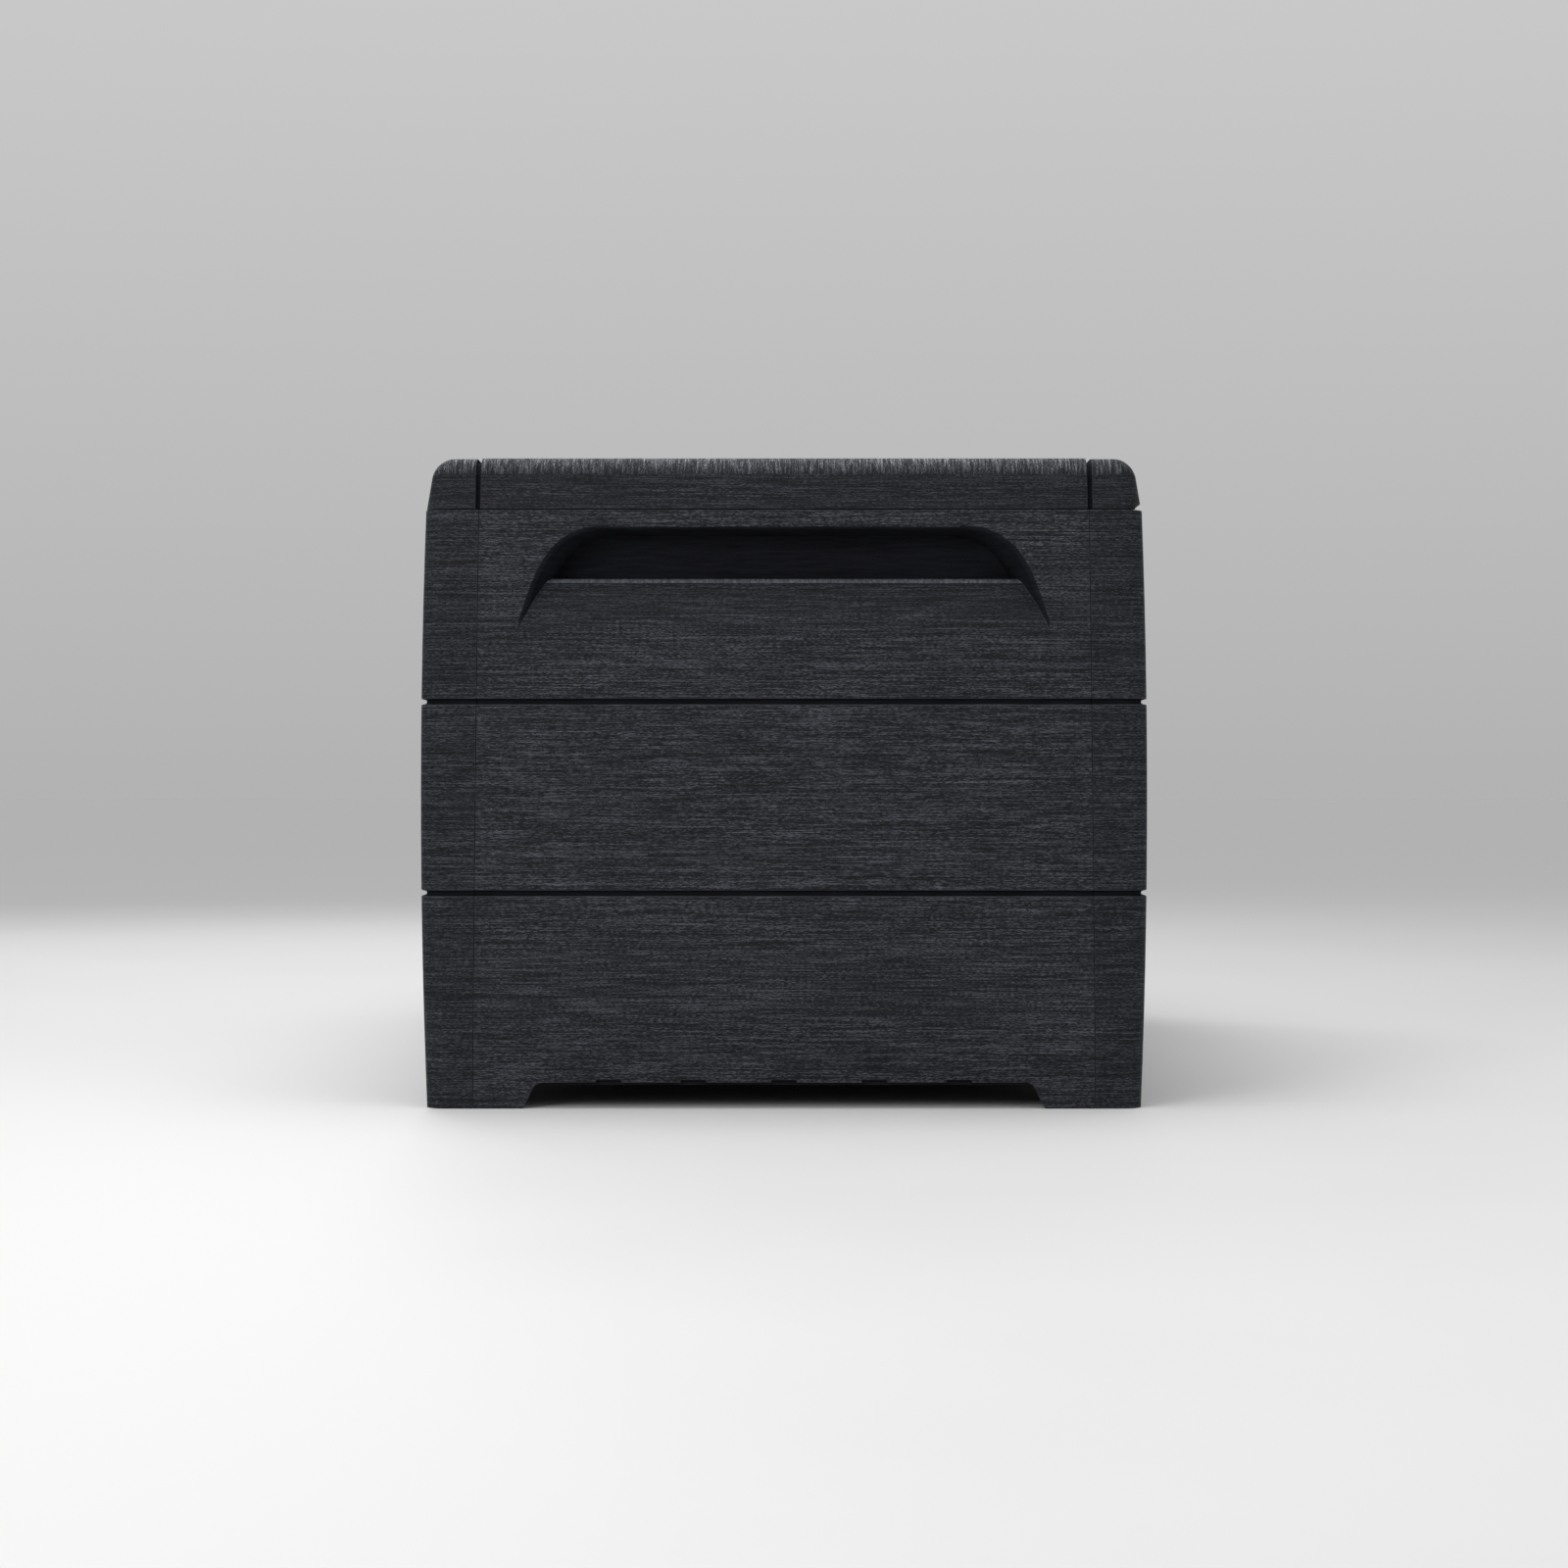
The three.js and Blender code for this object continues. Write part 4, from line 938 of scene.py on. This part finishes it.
def lower_leaf(name):
    x = HINGE_PLACES[name].x
    half = HINGE_WIDTH / 2
    parts = [plate_across("y", (LEAF_LOW, BODY_TOP - 1.2), span(x, HINGE_WIDTH), LEAF_Y, 6)]
    for side in SIDES:
        heights = (LEAF_LOW + 6, LEAF_LOW + 44)
        ridge = span(x + side * LEAF_RIDGE_X, LEAF_RIDGE_WIDTH)
        parts.append(plate_across("y", heights, ridge, (LEAF_Y[0] - 0.3, 343), 1))
    for side in SIDES:
        reach = sorted((x + side * (KNUCKLE_MIDDLE / 2 + 0.6), x + side * half))
        parts += [block(reach, LEAF_Y, (570, HINGE_Z)), barrel(KNUCKLE_RADIUS, *reach)]
    leaf = cut(joined(*parts), barrel(PIN_HOLE_RADIUS, x - half - 1, x + half + 1))
    return drilled(leaf, f"hinge_screw_body_{name}")


def upper_leaf(name):
    node = f"hinge_leaf_lid_{name}"
    x = HINGE_PLACES[name].x
    low, high = cad_box(node)
    half = KNUCKLE_MIDDLE / 2
    heights = (LID_BOTTOM + 0.1, LID_BOTTOM + 2.4)
    parts = [
        plate_across("z", (low.x, high.x), (low.y, UPPER_LEAF_BACK), heights, 6),
        block(span(x, KNUCKLE_MIDDLE), (UPPER_LEAF_BACK - 4, HINGE_Y - 3.4), heights),
        barrel(KNUCKLE_RADIUS, x - half, x + half),
    ]
    leaf = cut(joined(*parts), barrel(PIN_HOLE_RADIUS, x - half - 1, x + half + 1))
    return drilled(leaf, f"hinge_screw_lid_{name}")


def hinge_pin(name):
    low, high = cad_box(f"hinge_pin_{name}")
    length = high.x - low.x
    r = PIN_RADIUS
    profile = [(r - 1, 0), (r - 0.3, 0.3), (r, 1)]
    profile += [(radius, length - height) for radius, height in reversed(profile)]
    return moved(turned(profile, 28), (low.x, HINGE_Y, HINGE_Z), (1, 0, 0))


# ---- gas struts, drawn up +Z from the lower pivot ----
TUBE_RADIUS = 9
ROD_RADIUS = 4
EYE_RADIUS = 9
EYE_THICKNESS = 10
STUD_RADIUS = 4
STUD_HEAD_RADIUS = 6.5
TUBE_BOTTOM = 16
TUBE_TOP = 138
PISTON = (24, 32)


def strut_line(end):
    """A strut's lower pivot, its direction and the distance between its pivots."""
    low = cad_middle(f"strut_stud_lower_{end}")
    high = cad_middle(f"strut_stud_upper_{end}")
    low.x = high.x = cad_middle(f"strut_tube_{end}").x
    return low, (high - low).normalized(), (high - low).length


def strut_tube(end):
    r = TUBE_RADIUS
    profile = [(r - 1.6, TUBE_BOTTOM), (r - 0.5, TUBE_BOTTOM + 0.5), (r, TUBE_BOTTOM + 1.6)]
    profile += [(r, TUBE_TOP - 16), (r - 0.7, TUBE_TOP - 15), (r - 0.7, TUBE_TOP - 13.5)]
    profile += [(r, TUBE_TOP - 12.5), (r, TUBE_TOP - 2)]
    profile += [(r - 0.6, TUBE_TOP - 0.6), (r - 2, TUBE_TOP)]
    bore = [(r - 1.5, TUBE_BOTTOM + 3), (r - 1.5, TUBE_TOP - 10), (ROD_RADIUS + 0.4, TUBE_TOP - 10)]
    bore.append((ROD_RADIUS + 0.4, TUBE_TOP + 1))
    start, direction, _ = strut_line(end)
    return moved(cut(turned(profile, 48), turned(bore, 48)), start, direction)


def strut_rod(end):
    start, direction, length = strut_line(end)
    piston = TUBE_RADIUS - 2.1
    profile = [(piston, PISTON[0]), (piston, PISTON[1]), (ROD_RADIUS, PISTON[1])]
    profile.append((ROD_RADIUS, length - 17))
    profile += [(ROD_RADIUS - 0.5, length - back) for back in (16.2, 15)]
    return moved(turned(profile, 48), start, direction)


def strut_eye(end, upper):
    """A nylon end fitting: a ring across the strut with a ribbed neck towards its middle."""
    start, direction, length = strut_line(end)
    half = EYE_THICKNESS / 2
    r = EYE_RADIUS
    profile = [(r - 1.4, -half), (r - 0.3, -half + 0.6), (r, -half + 1.6)]
    profile += [(r, half - 1.6), (r - 0.3, half - 0.6), (r - 1.4, half)]
    ring = moved(turned(profile, 48), (0, 0, 0), (1, 0, 0))
    neck = [(4.6, 2), (4.6, 9.4), (5, 9.8), (5, 11.4)]
    neck += [(4.5, 11.8), (4.5, 12.6), (5, 13), (5, 14.2), (4.6, 14.6)]
    web = prism("x", [(-4.6, 5), (-6.4, 3), (6.4, 3), (4.6, 5), (3.4, 11), (-3.4, 11)], -2, 2)
    shape = joined(ring, turned(neck, 40), web)
    hole = turned([(STUD_RADIUS + 0.3, -half - 1), (STUD_RADIUS + 0.3, half + 1)])
    shape = cut(shape, moved(hole, (0, 0, 0), (1, 0, 0)))
    turn = Matrix.Rotation(math.pi if upper else 0, 4, "X")
    lean = Matrix.Rotation(-math.atan2(direction.y, direction.z), 4, "X")
    place = start + direction * (length if upper else 0)
    shape.data.transform(Matrix.Translation(place) @ lean @ turn)
    return shape


def strut_stud(end, upper):
    """A domed head and a plain shank across the strut."""
    low, high = cad_box(f"strut_stud_{'upper' if upper else 'lower'}_{end}")
    length = high.x - low.x
    side = math.copysign(1, low.x)
    head_outward = side if upper else -side
    start = (low + high) / 2
    start.x = high.x if head_outward > 0 else low.x
    head = STUD_HEAD_RADIUS
    profile = [(2, 0), (head - 2.2, 0.2), (head - 0.8, 0.8), (head, 1.7), (head - 0.1, 2.4)]
    profile += [(STUD_RADIUS, 2.4), (STUD_RADIUS, length - 0.6), (STUD_RADIUS - 0.6, length)]
    return moved(turned(profile, 40), start, (-head_outward, 0, 0))


def lower_bracket():
    """A plate on the right-hand end wall with a filleted boss for the lower stud."""
    low, high = cad_box("strut_bracket_body_right")
    middle = (low + high) / 2
    reach = high.x - low.x
    corners = (span(middle.y, 26), span(middle.z, 46))
    plate = plate_across("x", *corners, (high.x - 4, high.x), 5)
    profile = [(7.2, 0), (8, 0.8)]
    profile += [(8, reach - 6.5), (8.6, reach - 5), (10, reach - 4), (10, reach - 3)]
    boss = moved(turned(profile), (low.x, *middle.yz), (1, 0, 0))
    hole = turned([(STUD_RADIUS + 0.4, -1), (STUD_RADIUS + 0.4, reach - 2)])
    return cut(joined(plate, boss), moved(hole, (low.x, *middle.yz), (1, 0, 0)))


def upper_bracket():
    """An angle under the lid with a boss beside the right-hand strut's upper end fitting."""
    start, direction, length = strut_line("right")
    pivot = start + direction * length
    x = pivot.x
    top = LID_BOTTOM + 2.4
    foot = (LID_BOTTOM + 0.3, top)
    plate = plate_across("z", (x - 29, x - 8.4), span(pivot.y, 30), foot, 4)
    outline = [(-13, top - pivot.z), (-9, -6), (-5, -10), (5, -10), (9, -6), (13, top - pivot.z)]
    outline = [(pivot.y + u, pivot.z + v) for u, v in outline]
    reach = (x - 12.4, x - 8.4)
    cheek = prism("x", softened(outline, 3), *reach)
    flare = block(reach, span(pivot.y, 25), (foot[0], top - 0.1))
    boss = turned([(8.6, 0), (8, 0.6), (7, 1.6), (7, 4.2), (6.5, 4.8)])
    boss = moved(boss, (x - 10.6, pivot.y, pivot.z), (1, 0, 0))
    return joined(plate, cheek, flare, boss)


# ---- padlock lugs ----
LOCK_EYE = (-342.5, 561)
LOCK_BORE_RADIUS = 5


def lock_lug(plate, lug_outline, reach):
    """A plate with one cheek, bored for the padlock; the outline is round the bore's middle."""
    outline = [(LOCK_EYE[0] + u, LOCK_EYE[1] + v) for u, v in lug_outline]
    cheek = prism("x", softened(outline, 3), *reach)
    bore = prism("x", disc(LOCK_EYE, LOCK_BORE_RADIUS), -10, 10)
    return cut(joined(plate, cheek), bore)


def body_lug():
    low, high = cad_box("lock_lug_body")
    front = RECESS_BACK_Y - 0.4
    plate = plate_across("y", (low.z, high.z), (low.x, -3), (front - 2.6, front), 4)
    root = front - 1 - LOCK_EYE[0]
    outline = [(root, -12), (root, 12), (-3, 9), (-8, 4), (-8, -4), (-3, -9)]
    return lock_lug(plate, outline, (-7, -3))


def lid_lug():
    low, high = cad_box("lock_lug_lid")
    foot = (LID_BOTTOM + 0.3, high.z)
    plate = plate_across("z", (low.x, high.x), (-346, -312), foot, 4)
    top = foot[1] - 0.3 - LOCK_EYE[1]
    outline = [(-3.5, top), (-8, 5), (-8, -5), (-4, -10), (4, -10), (7.5, -5), (7.5, top)]
    return lock_lug(plate, outline, (3, 7))


# ---- placing the hardware ----
KEPT_NODES = {
    "lid_liner": "satin",
    # The floor panel gets the recess look: painted shade on its edge under the walls.
    "floor_panel": "recess",
    "lid_bar_front": "zinc",
    "lid_bar_rear": "zinc",
}


def finish_part(piece, node, look, rounding):
    """Gives a small part one look and rounds its edges, by a number of millimetres."""
    place_piece(piece, node, [looks[look]])
    piece.data.shade_smooth()
    add_bevel(piece, rounding * MM, clamped=True)
    normals = piece.modifiers.new("flat_faces", "WEIGHTED_NORMAL")
    normals.keep_sharp = True


def dress(node, look, rounding):
    """A CAD node keeps its shape, and gets a material and finely rounded edges."""
    piece = frame["nodes"][node]
    for place in piece.material_slots:
        place.link = "OBJECT"
        place.material = looks[look]
    add_bevel(piece, rounding * MM, clamped=True)


def hardware():
    for name in HINGE_PLACES:
        finish_part(lower_leaf(name), f"hinge_leaf_body_{name}", "nylon", 0.3)
        finish_part(upper_leaf(name), f"hinge_leaf_lid_{name}", "nylon", 0.3)
        finish_part(hinge_pin(name), f"hinge_pin_{name}", "zinc", 0.05)
    for end in ("right", "left"):
        finish_part(strut_tube(end), f"strut_tube_{end}", "enamel", 0.1)
        finish_part(strut_rod(end), f"strut_rod_{end}", "chrome", 0.05)
        for upper, name in ((False, "lower"), (True, "upper")):
            finish_part(strut_eye(end, upper), f"strut_eye_{name}_{end}", "nylon", 0.2)
            finish_part(strut_stud(end, upper), f"strut_stud_{name}_{end}", "zinc", 0.1)
    for name, build in (("body", lower_bracket), ("lid", upper_bracket)):
        right = drilled(build(), f"strut_screw_{name}_right")
        left = mirrored(right)
        finish_part(right, f"strut_bracket_{name}_right", "zinc", 0.3)
        finish_part(left, f"strut_bracket_{name}_left", "zinc", 0.3)
    finish_part(drilled(body_lug(), "lock_screw_body"), "lock_lug_body", "zinc", 0.4)
    finish_part(drilled(lid_lug(), "lock_screw_lid"), "lock_lug_lid", "zinc", 0.4)
    for i, screw in enumerate(screws_of("")):
        finish_part(fine_screw(screw, 0.9 * i), screw, "zinc", 0.06)
    for node, look in KEPT_NODES.items():
        dress(node, look, 0.5)


shells()
hardware()


# ---- stage, light and camera ----
CAMERA_DISTANCE = 3.0
CAMERA_HEIGHT = 0.3183
LENS = 70.4
FLOOR_HALF = 60
FLOOR_COLOUR = (0.6, 0.6, 0.595)


def floor():
    corners = [(x * FLOOR_HALF, y * FLOOR_HALF, 0) for x, y in ((-1, -1), (1, -1), (1, 1), (-1, 1))]
    mesh = bpy.data.meshes.new("floor")
    mesh.from_pydata(corners, [], [(0, 1, 2, 3)])
    made = bpy.data.objects.new("floor", mesh)
    bpy.context.scene.collection.objects.link(made)
    surface = Surface("pale_floor")
    cloud = surface.noise((1.5, 1.5, 1.5), detail=4)
    tone = surface.remap(cloud, 0.3, 0.7)
    colour = surface.blend(tone, tuple(0.97 * c for c in FLOOR_COLOUR), FLOOR_COLOUR)
    mesh.materials.append(surface.finish(colour, surface.remap(cloud, 0.3, 0.7, 0.6, 0.7)))


def area_light(name, place, target, size, power):
    data = bpy.data.lights.new(name, "AREA")
    data.shape = "RECTANGLE"
    data.size, data.size_y = size
    data.energy = power
    lamp = bpy.data.objects.new(name, data)
    lamp.location = place
    lamp.rotation_euler = (Vector(target) - Vector(place)).to_track_quat("-Z", "Y").to_euler()
    bpy.context.scene.collection.objects.link(lamp)


def camera():
    data = bpy.data.cameras.new("camera")
    data.lens = LENS
    data.sensor_width = 36
    made = bpy.data.objects.new("camera", data)
    made.location = (cad_high.x + CAMERA_DISTANCE, 0, CAMERA_HEIGHT)
    made.rotation_euler = (math.pi / 2, 0, math.pi / 2)
    bpy.context.scene.collection.objects.link(made)
    bpy.context.scene.camera = made


def sky():
    """A pale surround, a little dimmer at the horizon so that the floor runs into it."""
    world = bpy.data.worlds.new("studio")
    bpy.context.scene.world = world
    world.use_nodes = True
    tree = world.node_tree
    place = tree.nodes.new("ShaderNodeTexCoord")
    parts = tree.nodes.new("ShaderNodeSeparateXYZ")
    ramp = tree.nodes.new("ShaderNodeValToRGB")
    tree.links.new(place.outputs["Generated"], parts.inputs[0])
    tree.links.new(parts.outputs["Z"], ramp.inputs[0])
    tree.links.new(ramp.outputs[0], tree.nodes["Background"].inputs["Color"])
    ramp.color_ramp.elements[0].position = 0.0
    ramp.color_ramp.elements[0].color = (0.56, 0.56, 0.565, 1)
    ramp.color_ramp.elements[1].position = 0.5
    ramp.color_ramp.elements[1].color = (0.9, 0.9, 0.91, 1)
    tree.nodes["Background"].inputs["Strength"].default_value = 0.8


floor()
area_light("key", (3.6, -2.0, 1.7), (0.5, 0, 0.35), (1.6, 1.6), 56)
area_light("top", (0.7, -0.1, 2.6), (0.5, 0, 0.5), (1.4, 1.8), 40)
area_light("fill", (3.0, 2.6, 1.4), (0.5, 0, 0.3), (1.6, 1.6), 14)
area_light("rim", (-2.6, -1.2, 2.6), (-0.2, 0, 0.4), (1.6, 1.6), 40)
camera()
sky()
bpy.context.scene.view_settings.view_transform = "Standard"
